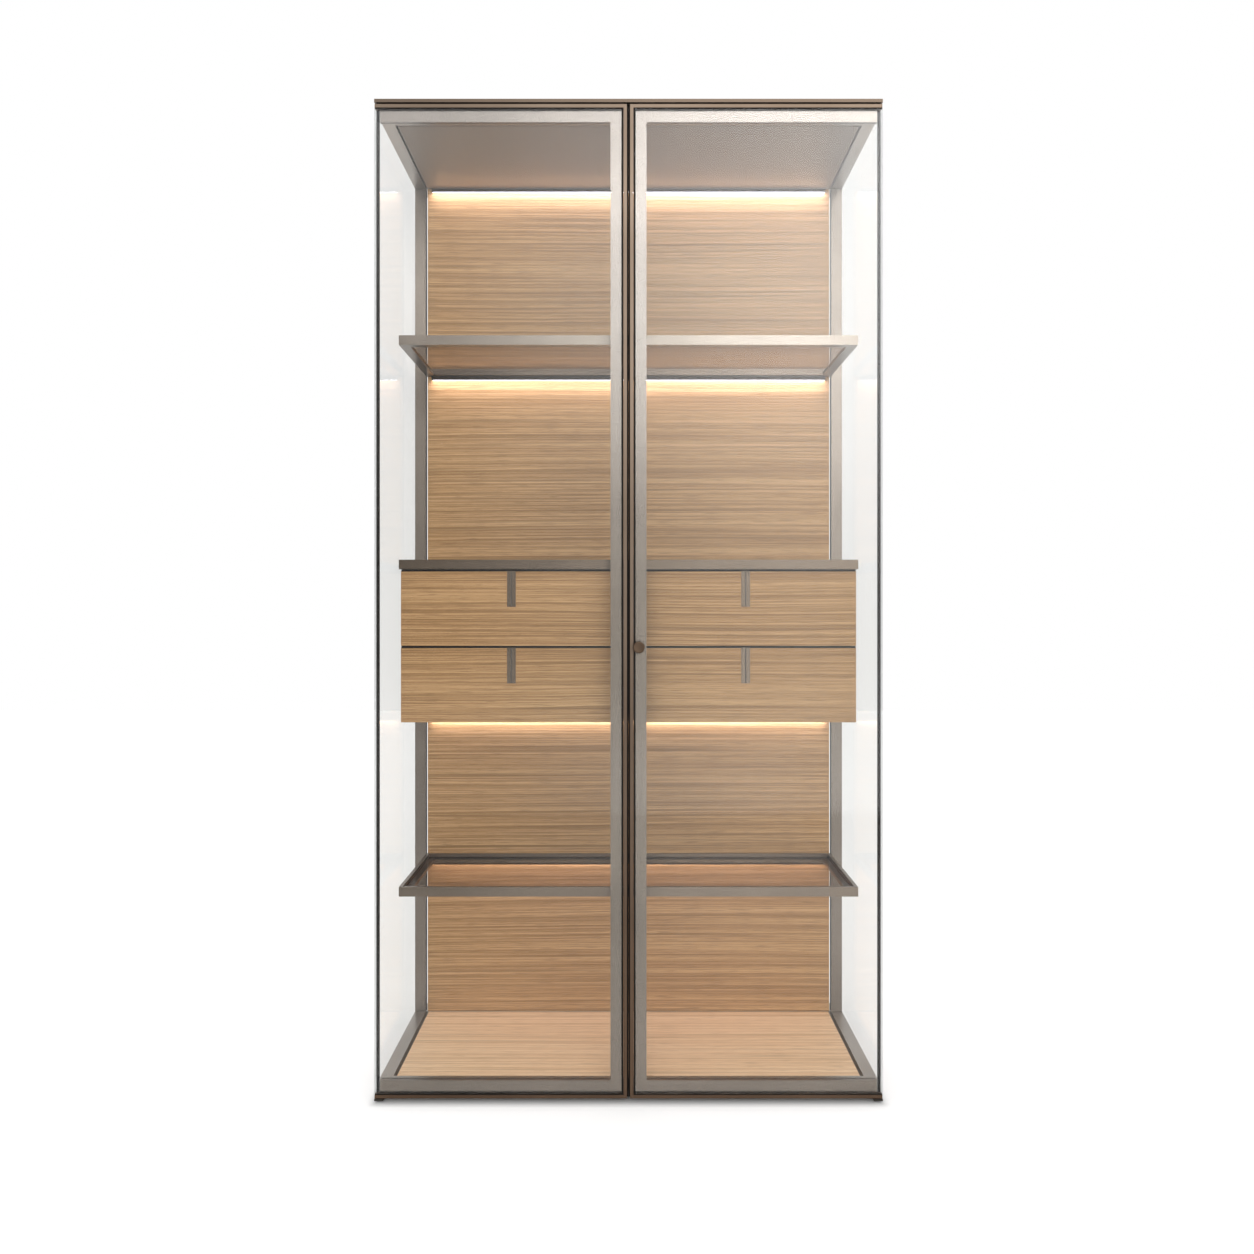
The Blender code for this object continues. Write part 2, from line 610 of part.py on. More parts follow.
def make_driver():
    """Driver for the light bars, on the back of the back panel."""
    y = (BACK_PANEL_BACK + SEAT_GAP, BACK_PANEL_BACK + SEAT_GAP + DRIVER_DEPTH)
    z = (CEILING - DRIVER_DROP, CEILING - DRIVER_DROP + DRIVER_HEIGHT)
    block("light_driver", centred(0.0, DRIVER_LENGTH), y, z, RUBBER)


make_frames()
make_panels()
make_uprights_and_sides()
make_cap()
make_feet()
make_pivot_brackets()
make_catch()
make_doors()
make_light("ceiling_light", CEILING)
make_shelves()
make_drawer_case()
make_drawers()
make_driver()
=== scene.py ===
"""Looks of the glass display showcase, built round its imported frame.

Metres, +Z up. X runs across the front and Y from front to back, so the doors face -Y.
"""

import math

import bmesh
import bpy
from mathutils import Matrix, Vector


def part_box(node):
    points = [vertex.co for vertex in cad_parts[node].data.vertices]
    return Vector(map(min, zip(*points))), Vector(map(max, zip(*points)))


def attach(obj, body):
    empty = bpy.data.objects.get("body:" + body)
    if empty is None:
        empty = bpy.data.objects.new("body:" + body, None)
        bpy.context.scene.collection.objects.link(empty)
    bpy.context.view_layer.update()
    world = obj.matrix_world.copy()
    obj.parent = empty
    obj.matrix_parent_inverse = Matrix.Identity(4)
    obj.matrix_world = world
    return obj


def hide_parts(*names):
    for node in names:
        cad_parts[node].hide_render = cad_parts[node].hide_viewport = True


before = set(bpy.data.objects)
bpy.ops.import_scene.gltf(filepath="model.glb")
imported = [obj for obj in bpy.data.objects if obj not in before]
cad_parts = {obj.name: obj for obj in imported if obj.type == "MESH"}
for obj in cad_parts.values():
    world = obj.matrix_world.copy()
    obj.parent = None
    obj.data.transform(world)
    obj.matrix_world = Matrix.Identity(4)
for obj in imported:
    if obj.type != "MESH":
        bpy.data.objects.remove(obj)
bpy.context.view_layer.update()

SIDES = (("left", -1), ("right", 1))
ROWS = ("upper", "lower")
FORWARDS = (0.0, -1.0, 0.0)
BACKWARDS = (0.0, 1.0, 0.0)
WHITE = (1.0, 1.0, 1.0)
ROUND_STEPS = 64
SMALL_STEPS = 32
SCREW_STEPS = 24
SHARP_ANGLE = math.radians(35)
BEVEL_SEGMENTS = 2


# ------------------------------------------------------------------ node materials


class Nodes:
    """Short calls for building one node tree."""

    def __init__(self, tree):
        self.tree = tree
        self.coordinates = None

    def add(self, kind, **values):
        """A new node, with some of its settings."""
        node = self.tree.nodes.new("ShaderNode" + kind)
        for key, value in values.items():
            setattr(node, key, value)
        return node

    def feed(self, socket, value):
        """Link an output to an input, or set the input to a plain value."""
        if isinstance(value, bpy.types.NodeSocket):
            self.tree.links.new(value, socket)
        else:
            socket.default_value = value

    def math(self, operation, *values, clamp=False):
        """The result of a Math node."""
        node = self.add("Math", operation=operation, use_clamp=clamp)
        for socket, value in zip(node.inputs, values):
            self.feed(socket, value)
        return node.outputs[0]

    def weighted(self, *pairs):
        """The sum of some values, each times its share."""
        total = None
        for value, share in pairs:
            part = self.math("MULTIPLY", value, share)
            total = part if total is None else self.math("ADD", total, part)
        return total

    def place(self):
        """Object coordinates, which don't move with the camera or the pose."""
        if self.coordinates is None:
            self.coordinates = self.add("TexCoord").outputs["Object"]
        return self.coordinates

    def parts(self, vector):
        """The three numbers of a vector."""
        node = self.add("SeparateXYZ")
        self.feed(node.inputs[0], vector)
        return node.outputs[:3]

    def join(self, x, y, z=0.0):
        """A vector of three numbers."""
        node = self.add("CombineXYZ")
        for socket, value in zip(node.inputs, (x, y, z)):
            self.feed(socket, value)
        return node.outputs[0]

    def scaled(self, vector, scale):
        """A vector stretched along its axes."""
        node = self.add("Mapping")
        self.feed(node.inputs["Vector"], vector)
        node.inputs["Scale"].default_value = scale
        return node.outputs[0]

    def noise(self, vector, scale, detail=2.0, roughness=0.5, dimensions="3D"):
        """Smooth noise from 0 to 1."""
        node = self.add("TexNoise", noise_dimensions=dimensions)
        self.feed(node.inputs["Vector"], vector)
        node.inputs["Scale"].default_value = scale
        node.inputs["Detail"].default_value = detail
        node.inputs["Roughness"].default_value = roughness
        return node.outputs["Fac"]

    def ramp(self, factor, stops):
        """A colour ramp over (position, colour) stops."""
        node = self.add("ValToRGB")
        self.feed(node.inputs[0], factor)
        elements = node.color_ramp.elements
        while len(elements) < len(stops):
            elements.new(0.5)
        for element, (position, colour) in zip(elements, stops):
            element.position = position
            element.color = (*colour[:3], 1.0)
        return node.outputs[0]

    def grey_ramp(self, factor, stops):
        """A ramp over (position, level) stops."""
        return self.ramp(factor, [(position, (level,) * 3) for position, level in stops])

    def remap(self, value, low, high, start=0.0, end=1.0):
        """A value moved from the span start to end to the span low to high, and held at its ends."""
        node = self.add("MapRange", clamp=True)
        for socket, number in zip(node.inputs, (value, start, end, low, high)):
            self.feed(socket, number)
        return node.outputs[0]

    def blend(self, factor, first, second, kind="MIX"):
        """Two colours mixed."""
        node = self.add("Mix", data_type="RGBA", blend_type=kind)
        self.feed(node.inputs[0], factor)
        self.feed(node.inputs[6], first)
        self.feed(node.inputs[7], second)
        return node.outputs[2]

    def bump(self, height, distance, strength):
        """A normal from a height."""
        node = self.add("Bump")
        node.inputs["Strength"].default_value = strength
        node.inputs["Distance"].default_value = distance
        self.feed(node.inputs["Height"], height)
        return node.outputs[0]


def new_material(name):
    """A node material, its short calls and its Principled shader."""
    material = bpy.data.materials.new(name)
    material.use_nodes = True
    return material, Nodes(material.node_tree), material.node_tree.nodes["Principled BSDF"]


def set_plain(shader, **values):
    """Plain values on a shader's own sockets, named with _ for a space."""
    for key, value in values.items():
        shader.inputs[key.replace("_", " ")].default_value = value


# The span of a noise over which roughness goes from its lowest to its highest.
NOISE_SPAN = (0.3, 0.7)

# Metal. A relief is a distance and a strength.
METAL_GRAIN = 1300.0
METAL_GRAIN_DETAIL = 3.0
METAL_GRAIN_ROUGHNESS = 0.6
METAL_GRAIN_SHARE = 0.12
METAL_CLOUDS = 3.2
METAL_TONES = (0.32, 0.68)
METAL_ROUGHNESS_SPREAD = 0.05
METAL_RELIEF = (0.00003, 0.1)
# Painted shade along a bottom rim: the span of heights over which it fades out.
RIM_SHADE_SPAN = (0.40, 0.50)


def metal(name, dark, light, rough, grain=METAL_GRAIN, foot=None, rim=None):
    """Anodised metal: fine blasted grain and slow tone change.

    If asked, painted shade that deepens towards the floor, or painted shade along the bottom rim of
    the piece.
    """
    material, n, shader = new_material(name)
    place = n.place()
    fine = n.noise(place, grain, METAL_GRAIN_DETAIL, METAL_GRAIN_ROUGHNESS)
    slow = n.noise(place, METAL_CLOUDS)
    tone = n.weighted((fine, METAL_GRAIN_SHARE), (slow, 1.0 - METAL_GRAIN_SHARE))
    colour = n.ramp(tone, tuple(zip(METAL_TONES, (dark, light))))
    # Painted shade: the colour deepens towards the floor by height alone.
    if foot:
        floor_shade_colour, low, high = foot
        height = n.remap(n.parts(place)[2], 0.0, 1.0, low, high)
        shade = n.ramp(height, ((0.0, floor_shade_colour), (1.0, WHITE)))
        colour = n.blend(1.0, colour, shade, "MULTIPLY")
    # Painted shade along the bottom rim of the piece.
    if rim:
        height = n.parts(n.add("TexCoord").outputs["Generated"])[2]
        shade = n.grey_ramp(height, tuple(zip(RIM_SHADE_SPAN, (rim, 1.0))))
        colour = n.blend(1.0, colour, shade, "MULTIPLY")
    n.feed(shader.inputs["Base Color"], colour)
    smooth = rough - METAL_ROUGHNESS_SPREAD
    coarse = rough + METAL_ROUGHNESS_SPREAD
    n.feed(shader.inputs["Roughness"], n.remap(fine, smooth, coarse, *NOISE_SPAN))
    n.feed(shader.inputs["Normal"], n.bump(fine, *METAL_RELIEF))
    set_plain(shader, Metallic=1.0)
    return material


# Wood. Streaks are noise with a scale along the grain, a scale across it, detail and roughness.
WANDER_STREAKS = (0.8, 2.5, 2.0, 0.4)
WANDER_REACH = 0.022
FINE_STREAKS = (1.3, 380.0, 2.0, 0.6)
FINE_SHARE = 0.38
LINE_STREAKS = (0.35, 165.0, 1.0, 0.5)
LINE_SHARE = 0.17
SLOW_STREAKS = (0.3, 30.0, 1.0, 0.5)
SLOW_SHARE = 0.12
SPECKLE_STREAKS = (280.0, 800.0, 1.0, 0.5)
SPECKLE_SHARE = 0.15
RINGS_PER_METRE = 38.0
RING_STREAKS = (0.15, 9.0, 1.0, 0.5)
RING_SWAY = 3.2
RING_LEVELS = ((0.0, 0.90), (0.10, 0.60), (0.60, 0.48), (0.90, 0.28), (1.0, 0.85))
RING_SHARE = 0.18
WOOD_TONES = (0.42, 0.50, 0.58)
VEIN_STREAKS = (0.35, 64.0, 1.0, 0.5)
VEIN_EDGES = (0.008, 0.040)
VEIN_BREAK_STREAKS = (1.4, 30.0, 1.0, 0.5)
VEIN_BREAK_SPAN = (0.40, 0.62)
VEIN_DEPTH = 0.75
PORE_STREAKS = (16.0, 480.0, 2.0, 0.6)
PORE_SPAN = (0.53, 0.66)
PORE_DEPTH = 0.55
MARK_SHADE = 0.80
WOOD_ROUGHNESS = (0.52, 0.40)
FINE_RELIEF = 0.4
WOOD_RELIEF = (0.00012, 0.4)
LACQUER_GLOSS = 0.25


def wood(name, light, middle, dark, offset):
    """Straight-grained veneer along X: growth rings, dark veins and pores under a satin lacquer."""
    material, n, shader = new_material(name)
    x, y, z = n.parts(n.place())
    along = n.math("ADD", x, offset)
    flat = n.math("ADD", n.math("ADD", y, z), offset)

    def streaks(sideways, length, width, detail, roughness):
        """Noise drawn out along the grain."""
        vector = n.join(n.math("MULTIPLY", along, length), n.math("MULTIPLY", sideways, width))
        return n.noise(vector, 1.0, detail, roughness, "2D")

    wander = streaks(flat, *WANDER_STREAKS)
    across = n.math("ADD", flat, n.math("MULTIPLY", wander, WANDER_REACH))
    sway = n.math("MULTIPLY", streaks(across, *RING_STREAKS), RING_SWAY)
    phase = n.math("FRACT", n.math("ADD", n.math("MULTIPLY", across, RINGS_PER_METRE), sway))
    fine = streaks(across, *FINE_STREAKS)
    tone = n.weighted(
        (fine, FINE_SHARE),
        (streaks(across, *LINE_STREAKS), LINE_SHARE),
        (streaks(across, *SLOW_STREAKS), SLOW_SHARE),
        (streaks(across, *SPECKLE_STREAKS), SPECKLE_SHARE),
        (n.grey_ramp(phase, RING_LEVELS), RING_SHARE),
    )
    colour = n.ramp(tone, tuple(zip(WOOD_TONES, (dark, middle, light))))
    edge = n.math("ABSOLUTE", n.math("SUBTRACT", streaks(across, *VEIN_STREAKS), 0.5))
    breaks = n.remap(streaks(across, *VEIN_BREAK_STREAKS), 0.0, VEIN_DEPTH, *VEIN_BREAK_SPAN)
    veins = n.math("MULTIPLY", n.remap(edge, 1.0, 0.0, *VEIN_EDGES), breaks)
    pores = n.remap(streaks(across, *PORE_STREAKS), 0.0, 1.0, *PORE_SPAN)
    marks = n.math("MAXIMUM", veins, n.math("MULTIPLY", pores, PORE_DEPTH))
    deep = tuple(level * MARK_SHADE for level in dark)
    n.feed(shader.inputs["Base Color"], n.blend(marks, colour, (*deep, 1.0)))
    n.feed(shader.inputs["Roughness"], n.remap(tone, *WOOD_ROUGHNESS, *NOISE_SPAN))
    height = n.math("SUBTRACT", n.math("MULTIPLY", fine, FINE_RELIEF), marks)
    n.feed(shader.inputs["Normal"], n.bump(height, *WOOD_RELIEF))
    set_plain(shader, Specular_IOR_Level=LACQUER_GLOSS)
    return material


# Boards: a weave of long thin threads, and slow clouds.
THREAD_SCALES = (90.0, 1500.0)
WEAVE_SHARE = 0.6
BOARD_CLOUDS = 2.4
BOARD_TONES = (0.36, 0.64)
BOARD_ROUGHNESS_SPREAD = 0.05
BOARD_NOISE_SPAN = (0.35, 0.65)
BOARD_DEPTH = 0.0001
LAMINATE_EMBOSS = 0.4
LACQUER_EMBOSS = 0.06


def lining(name, dark, light, rough, emboss):
    """Painted or laminated board with a fine linen emboss."""
    material, n, shader = new_material(name)
    place = n.place()
    long, thin = THREAD_SCALES
    warp = n.noise(n.scaled(place, (long, thin, thin)), 1.0)
    weft = n.noise(n.scaled(place, (thin, long, long)), 1.0)
    weave = n.weighted((warp, 0.5), (weft, 0.5))
    slow = n.noise(place, BOARD_CLOUDS)
    tone = n.weighted((weave, WEAVE_SHARE), (slow, 1.0 - WEAVE_SHARE))
    n.feed(shader.inputs["Base Color"], n.ramp(tone, tuple(zip(BOARD_TONES, (dark, light)))))
    smooth = rough - BOARD_ROUGHNESS_SPREAD
    coarse = rough + BOARD_ROUGHNESS_SPREAD
    n.feed(shader.inputs["Roughness"], n.remap(weave, smooth, coarse, *BOARD_NOISE_SPAN))
    n.feed(shader.inputs["Normal"], n.bump(weave, BOARD_DEPTH, emboss))
    return material


# Glass.
GLASS_CLOUDS = 1.7
GLASS_TONES = (0.35, 0.65)
GLASS_COAT_IOR = 1.35
GLASS_COAT_ROUGHNESS = 0.06


def glass(name, dark, light, ior, coat=0.0):
    """Glass that mirrors what is in front of it, and lets the lamps' light straight through."""
    material, n, shader = new_material(name)
    cloud = n.noise(n.place(), GLASS_CLOUDS, detail=1.0)
    tint = n.ramp(cloud, tuple(zip(GLASS_TONES, (dark, light))))
    n.feed(shader.inputs["Base Color"], tint)
    set_plain(shader, Roughness=0.0, IOR=ior, Transmission_Weight=1.0)
    set_plain(shader, Coat_Weight=coat, Coat_Roughness=GLASS_COAT_ROUGHNESS, Coat_IOR=GLASS_COAT_IOR)
    clear = n.add("BsdfTransparent")
    n.feed(clear.inputs["Color"], tint)
    path = n.add("LightPath")
    lamps = n.math("MAXIMUM", path.outputs["Is Shadow Ray"], path.outputs["Is Diffuse Ray"])
    mix = n.add("MixShader")
    n.feed(mix.inputs[0], lamps)
    n.feed(mix.inputs[1], shader.outputs[0])
    n.feed(mix.inputs[2], clear.outputs[0])
    output = n.tree.nodes["Material Output"]
    n.feed(output.inputs["Surface"], mix.outputs[0])
    return material


# Plastic and rubber.
STIPPLE_ROUGHNESS = 0.6
STIPPLE_SHARE = 0.6
POLYMER_CLOUDS = 40.0
POLYMER_TONES = (0.35, 0.65)
POLYMER_ROUGHNESS_SPREAD = 0.08
POLYMER_RELIEF = (0.0001, 0.4)


def polymer(name, dark, light, rough, stipple, gloss=0.5):
    """Moulded plastic or rubber with a spark-eroded texture."""
    material, n, shader = new_material(name)
    place = n.place()
    grain = n.noise(place, stipple, roughness=STIPPLE_ROUGHNESS)
    slow = n.noise(place, POLYMER_CLOUDS)
    tone = n.weighted((grain, STIPPLE_SHARE), (slow, 1.0 - STIPPLE_SHARE))
    n.feed(shader.inputs["Base Color"], n.ramp(tone, tuple(zip(POLYMER_TONES, (dark, light)))))
    smooth = rough - POLYMER_ROUGHNESS_SPREAD
    coarse = rough + POLYMER_ROUGHNESS_SPREAD
    n.feed(shader.inputs["Roughness"], n.remap(grain, smooth, coarse, *NOISE_SPAN))
    n.feed(shader.inputs["Normal"], n.bump(grain, *POLYMER_RELIEF))
    set_plain(shader, Specular_IOR_Level=gloss)
    return material


# Opal strips of the light bars.
LED_COLOUR = (0.90, 0.87, 1.0, 1.0)
STRIP_RADIANCE = 12.0
DIODE_PITCH = 0.010
DIODE_DIP = 0.88
OPAL_HAZE = 300.0
OPAL_STOPS = ((0.3, (0.80, 0.78, 0.74)), (0.7, (0.88, 0.86, 0.82)))
OPAL_ROUGHNESS = 0.45


def diffuser(name):
    """Opal strip lit from behind, a little brighter over each diode."""
    material, n, shader = new_material(name)
    x = n.parts(n.place())[0]
    wave = n.math("SINE", n.math("MULTIPLY", x, 2.0 * math.pi / DIODE_PITCH))
    glow = n.remap(wave, STRIP_RADIANCE * DIODE_DIP, STRIP_RADIANCE, -1.0, 1.0)
    n.feed(shader.inputs["Emission Strength"], glow)
    n.feed(shader.inputs["Base Color"], n.ramp(n.noise(n.place(), OPAL_HAZE), OPAL_STOPS))
    set_plain(shader, Emission_Color=LED_COLOUR, Roughness=OPAL_ROUGHNESS)
    return material


# The finishes. A foot is painted shade: the tone at the floor's end of a span of heights.
BRONZE_FLOOR_SHADE = ((0.65, 0.56, 0.50), 0.10, 1.15)
BAND_FLOOR_SHADE = ((0.94, 0.89, 0.82), 1.10, 1.75)
SATIN_FLOOR_SHADE = ((0.96, 0.90, 0.83), 0.80, 1.50)
BRONZE = metal("bronze_satin", (0.130, 0.095, 0.070), (0.198, 0.150, 0.114), 0.42, foot=BRONZE_FLOOR_SHADE)
BRONZE_CAP = metal("bronze_cap", (0.122, 0.091, 0.068), (0.142, 0.108, 0.082), 0.42)
BRONZE_KNOB = metal("bronze_knob", (0.068, 0.044, 0.029), (0.104, 0.071, 0.049), 0.40)
SATIN = metal("champagne_metal", (0.172, 0.144, 0.121), (0.223, 0.190, 0.161), 0.30, foot=SATIN_FLOOR_SHADE)
TRIM = metal("champagne_trim", (0.133, 0.102, 0.077), (0.174, 0.135, 0.103), 0.27)
BAND = metal("champagne_bands", (0.174, 0.152, 0.136), (0.226, 0.200, 0.180), 0.27, foot=BAND_FLOOR_SHADE)
UPRIGHT = metal("champagne_uprights", (0.176, 0.148, 0.124), (0.229, 0.195, 0.166), 0.38)
RING = metal("champagne_rings", (0.330, 0.296, 0.266), (0.420, 0.382, 0.347), 0.34)
PIVOT = metal("dark_pivot", (0.045, 0.040, 0.036), (0.075, 0.068, 0.061), 0.40)
STEEL = metal("zinc_plate", (0.46, 0.46, 0.46), (0.62, 0.62, 0.61), 0.34, grain=180.0)
# The light channel's lower rim is darkened with painted shade.
CHANNEL = metal("light_channel", (0.096, 0.080, 0.066), (0.122, 0.103, 0.087), 0.40, rim=0.30)
BACK_TONES = ((0.60, 0.365, 0.178), (0.47, 0.268, 0.116), (0.31, 0.168, 0.066))
# Painted light: the floor panel's walnut is a lit copy of the back's, its tones painted lighter to
# stand in for the light that falls on it.
FLOOR_PAINTED_LIGHT_TONES = ((0.97, 0.700, 0.452), (0.90, 0.600, 0.350), (0.72, 0.448, 0.234))
FRONT_TONES = ((0.50, 0.298, 0.138), (0.385, 0.215, 0.089), (0.263, 0.138, 0.053))
BACK_WOOD = wood("walnut_back", *BACK_TONES, 0.43)
FLOOR_WOOD_PAINTED_LIGHT = wood("walnut_floor_painted_light", *FLOOR_PAINTED_LIGHT_TONES, 1.37)
FRONT_WOOD = {
    "upper": wood("walnut_front_upper", *FRONT_TONES, 3.11),
    "lower": wood("walnut_front_lower", *FRONT_TONES, 5.73),
}
CEILING = lining(
    "ceiling_lacquer", (0.206, 0.154, 0.116), (0.224, 0.168, 0.127), 0.42, LACQUER_EMBOSS
)
BOARD = lining("tray_laminate", (0.36, 0.262, 0.172), (0.44, 0.326, 0.216), 0.55, LAMINATE_EMBOSS)
CLEAR = glass("clear_pane", (0.965, 0.978, 0.972), (0.985, 0.992, 0.989), 1.03, 1.0)
SIDE_CLEAR = glass("side_pane", (0.955, 0.953, 0.946), (0.972, 0.970, 0.963), 1.08)
TINTED = glass("tinted_pane", (0.57, 0.51, 0.465), (0.62, 0.56, 0.515), 1.05)
BLACK = polymer("black_moulding", (0.012, 0.011, 0.010), (0.028, 0.026, 0.025), 0.55, 900.0)
BOARD_GREY = polymer("grey_moulding", (0.16, 0.155, 0.15), (0.21, 0.205, 0.20), 0.5, 900.0)
SLIT = polymer("pull_slit", (0.060, 0.052, 0.044), (0.085, 0.074, 0.063), 0.5, 900.0, 0.3)
RUBBER = polymer("black_rubber", (0.010, 0.010, 0.010), (0.022, 0.021, 0.021), 0.75, 1400.0)
# Also the black of the strips that paint shade into the gaps above the drawers, under the cap and
# behind the uprights.
SEAL_AND_SHADE = polymer("seal_rubber_and_shade", (0.010, 0.008, 0.007), (0.018, 0.015, 0.013), 0.65, 1600.0, 0.1)
OPAL = diffuser("opal_diffuser")


# ------------------------------------------------------------------ CAD nodes that stay

NODE_FINISHES = (
    (BRONZE_CAP, ("top_cap",)),
    (BRONZE, ("door_left_frame", "door_right_frame")),
    (RING, ("top_frame", "base_frame")),
    (UPRIGHT, ("upright_left", "upright_right")),
    (BAND, ("door_left_band", "door_right_band")),
    (SATIN, ("upper_shelf_frame", "lower_shelf_frame")),
    (TRIM, ("case_top", "case_divider")),
    (CEILING, ("ceiling_panel",)),
    (FLOOR_WOOD_PAINTED_LIGHT, ("floor_panel",)),
    (BACK_WOOD, ("back_panel",)),
    (BOARD, ("case_side_left", "case_side_right", "case_bottom")),
    (CLEAR, ("door_left_glass", "door_right_glass")),
    (SIDE_CLEAR, ("side_glass_left", "side_glass_right")),
    (TINTED, ("upper_shelf_glass", "lower_shelf_glass")),
    (PIVOT, ("pivot_bracket_left", "pivot_bracket_right")),
    (PIVOT, ("door_left_top_pivot", "door_right_top_pivot")),
)
EASED_EDGE = 0.0005
RUNNER_EDGE = EASED_EDGE / 2


def round_edges(thing, name, width):
    """A bevel along the sharp edges of an object."""
    bevel = thing.modifiers.new(name, "BEVEL")
    bevel.width = width
    bevel.segments = BEVEL_SEGMENTS
    bevel.limit_method = "ANGLE"
    bevel.angle_limit = SHARP_ANGLE


def finish_node(name, material, edge=EASED_EDGE):
    """Give a CAD node its material, and ease its edges."""
    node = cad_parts[name]
    node.data.materials.clear()
    node.data.materials.append(material)
    round_edges(node, "eased_edges", edge)


for finish, names in NODE_FINISHES:
    for node_name in names:
        finish_node(node_name, finish)
for row in ROWS:
    for side, _ in SIDES:
        drawer = f"drawer_{row}_{side}"
        finish_node(drawer + "_front", FRONT_WOOD[row])
        finish_node(drawer + "_pull", TRIM)
        finish_node(drawer + "_tray", BOARD)
        for member in ("inner", "outer"):
            finish_node(f"runner_{row}_{side}_{member}", STEEL, RUNNER_EDGE)


# ------------------------------------------------------------------ pieces


class Piece:
    """Collects the faces of one piece, then makes its object."""

    def __init__(self):
        self.mesh = bmesh.new()

    def face(self, corners, material):
        """One face, with the number of its material."""
        self.mesh.faces.new(corners).material_index = material

    def loft(self, rings, material=0):
        """Skin over rings of points, with a lid at both ends."""
        loops = [[self.mesh.verts.new(point) for point in ring] for ring in rings]
        for first, second in zip(loops, loops[1:]):
            for i in range(len(first)):
                j = (i + 1) % len(first)
                self.face((first[i], first[j], second[j], second[i]), material)
        self.face(loops[0][::-1], material)
        self.face(loops[-1], material)

    def prism(self, outline, axis, start, end, material=0):
        """An outline drawn out along x, y or z. It lists the other two coordinates in their order."""
        index = "xyz".index(axis)
        rings = []
        for level in (start, end):
            rings.append([(*point[:index], level, *point[index:]) for point in outline])
        self.loft(rings, material)

    def turn(self, profile, centre, axis=(0.0, 0.0, 1.0), material=0, steps=ROUND_STEPS):
        """A shape turned about an axis from (radius, height) points that start and end on it."""
        spin = Vector((0.0, 0.0, 1.0)).rotation_difference(Vector(axis)).to_matrix().to_4x4()
        move = Matrix.Translation(centre) @ spin
        loops = []
        for radius, height in profile[1:-1]:
            loop = []
            for step in range(steps):
                angle = 2.0 * math.pi * step / steps
                point = Vector((radius * math.cos(angle), radius * math.sin(angle), height))
                loop.append(self.mesh.verts.new(move @ point))
            loops.append(loop)
        for first, second in zip(loops, loops[1:]):
            for i in range(steps):
                j = (i + 1) % steps
                self.face((first[i], first[j], second[j], second[i]), material)
        for loop, (_, height) in ((loops[0], profile[0]), (loops[-1], profile[-1])):
            tip = self.mesh.verts.new(move @ Vector((0.0, 0.0, height)))
            for i in range(steps):
                self.face((loop[i], loop[(i + 1) % steps], tip), material)

    def make(self, name, body, materials, replaced=(), rounding=0.0):
        """The finished object, riding on its body."""
        bmesh.ops.recalc_face_normals(self.mesh, faces=self.mesh.faces)
        data = bpy.data.meshes.new(name)
        self.mesh.to_mesh(data)
        self.mesh.free()
        data.shade_smooth()
        data.set_sharp_from_angle(angle=SHARP_ANGLE)
        for material in materials:
            data.materials.append(material)
        piece = bpy.data.objects.new(name, data)
        bpy.context.scene.collection.objects.link(piece)
        if rounding:
            round_edges(piece, "rounded_edges", rounding)
        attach(piece, body)
        if replaced:
            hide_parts(*replaced)


def rectangle(low, high, chamfer=0.0):
    """Corners of a rectangle, with its corners cut off if asked."""
    (a, b), (c, d) = low, high
    if not chamfer:
        return [(a, b), (c, b), (c, d), (a, d)]
    k = chamfer
    return [
        (a + k, b), (c - k, b), (c, b + k), (c, d - k),
        (c - k, d), (a + k, d), (a, d - k), (a, b + k),
    ]


# Light bars: a dark channel open below, an opal strip in its mouth and a cap at each end.
LIGHT_BARS = ("ceiling_light", "upper_shelf_light", "case_light", "lower_shelf_light")
CHANNEL_WALL = 0.0008
CHANNEL_CAP = 0.0025
STRIP_FIT = 0.0001
STRIP_DEPTH = 0.0026
STRIP_CROWN = 0.0005
STRIP_STEPS = 8


def make_light(node):
    """One light bar in place of its CAD node."""
    low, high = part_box(node)
    wall = CHANNEL_WALL
    start = low.x + CHANNEL_CAP
    end = high.x - CHANNEL_CAP
    outline = [
        (low.y, low.z), (low.y + wall, low.z), (low.y + wall, high.z - wall),
        (high.y - wall, high.z - wall), (high.y - wall, low.z), (high.y, low.z),
        (high.y, high.z), (low.y, high.z),
    ]
    channel = Piece()
    channel.prism(outline, "x", start, end)
    cap = rectangle((low.y, low.z), (high.y, high.z), CHANNEL_WALL / 2)
    channel.prism(cap, "x", low.x, start, 1)
    channel.prism(cap, "x", end, high.x, 1)
    channel.make(node + "_channel", "cabinet", (CHANNEL, BLACK), (node,))

    front = low.y + wall + STRIP_FIT
    back = high.y - wall - STRIP_FIT
    crowned = []
    for step in range(STRIP_STEPS + 1):
        share = step / STRIP_STEPS
        drop = STRIP_CROWN * math.sin(math.pi * share)
        crowned.append((front + (back - front) * share, low.z + STRIP_CROWN - drop))
    top = low.z + STRIP_DEPTH
    strip = Piece()
    strip.prism(crowned + [(back, top), (front, top)], "x", start, end)
    strip.make(node + "_diffuser", "cabinet", (OPAL,))


for light in LIGHT_BARS:
    make_light(light)


# Door seals: a glazing bead on the glass inside the edge profile, and a fin in the meeting gap.
BEAD_PROFILE = (
    (0.0, 0.0), (0.0, 0.0007), (0.0009, 0.0010), (0.0030, 0.0009), (0.0040, 0.0005), (0.0043, 0.0),
)
BEAD_END_SHARE = 0.45
FIN_THICKNESS = 0.0016
FIN_FOOT_SHARE = 3
FIN_FOOT_REACH = 0.0010
FIN_NOSE = 0.0003
FIN_GAP = 0.00005
FIN_Y = -0.2240
FIN_END = 0.001


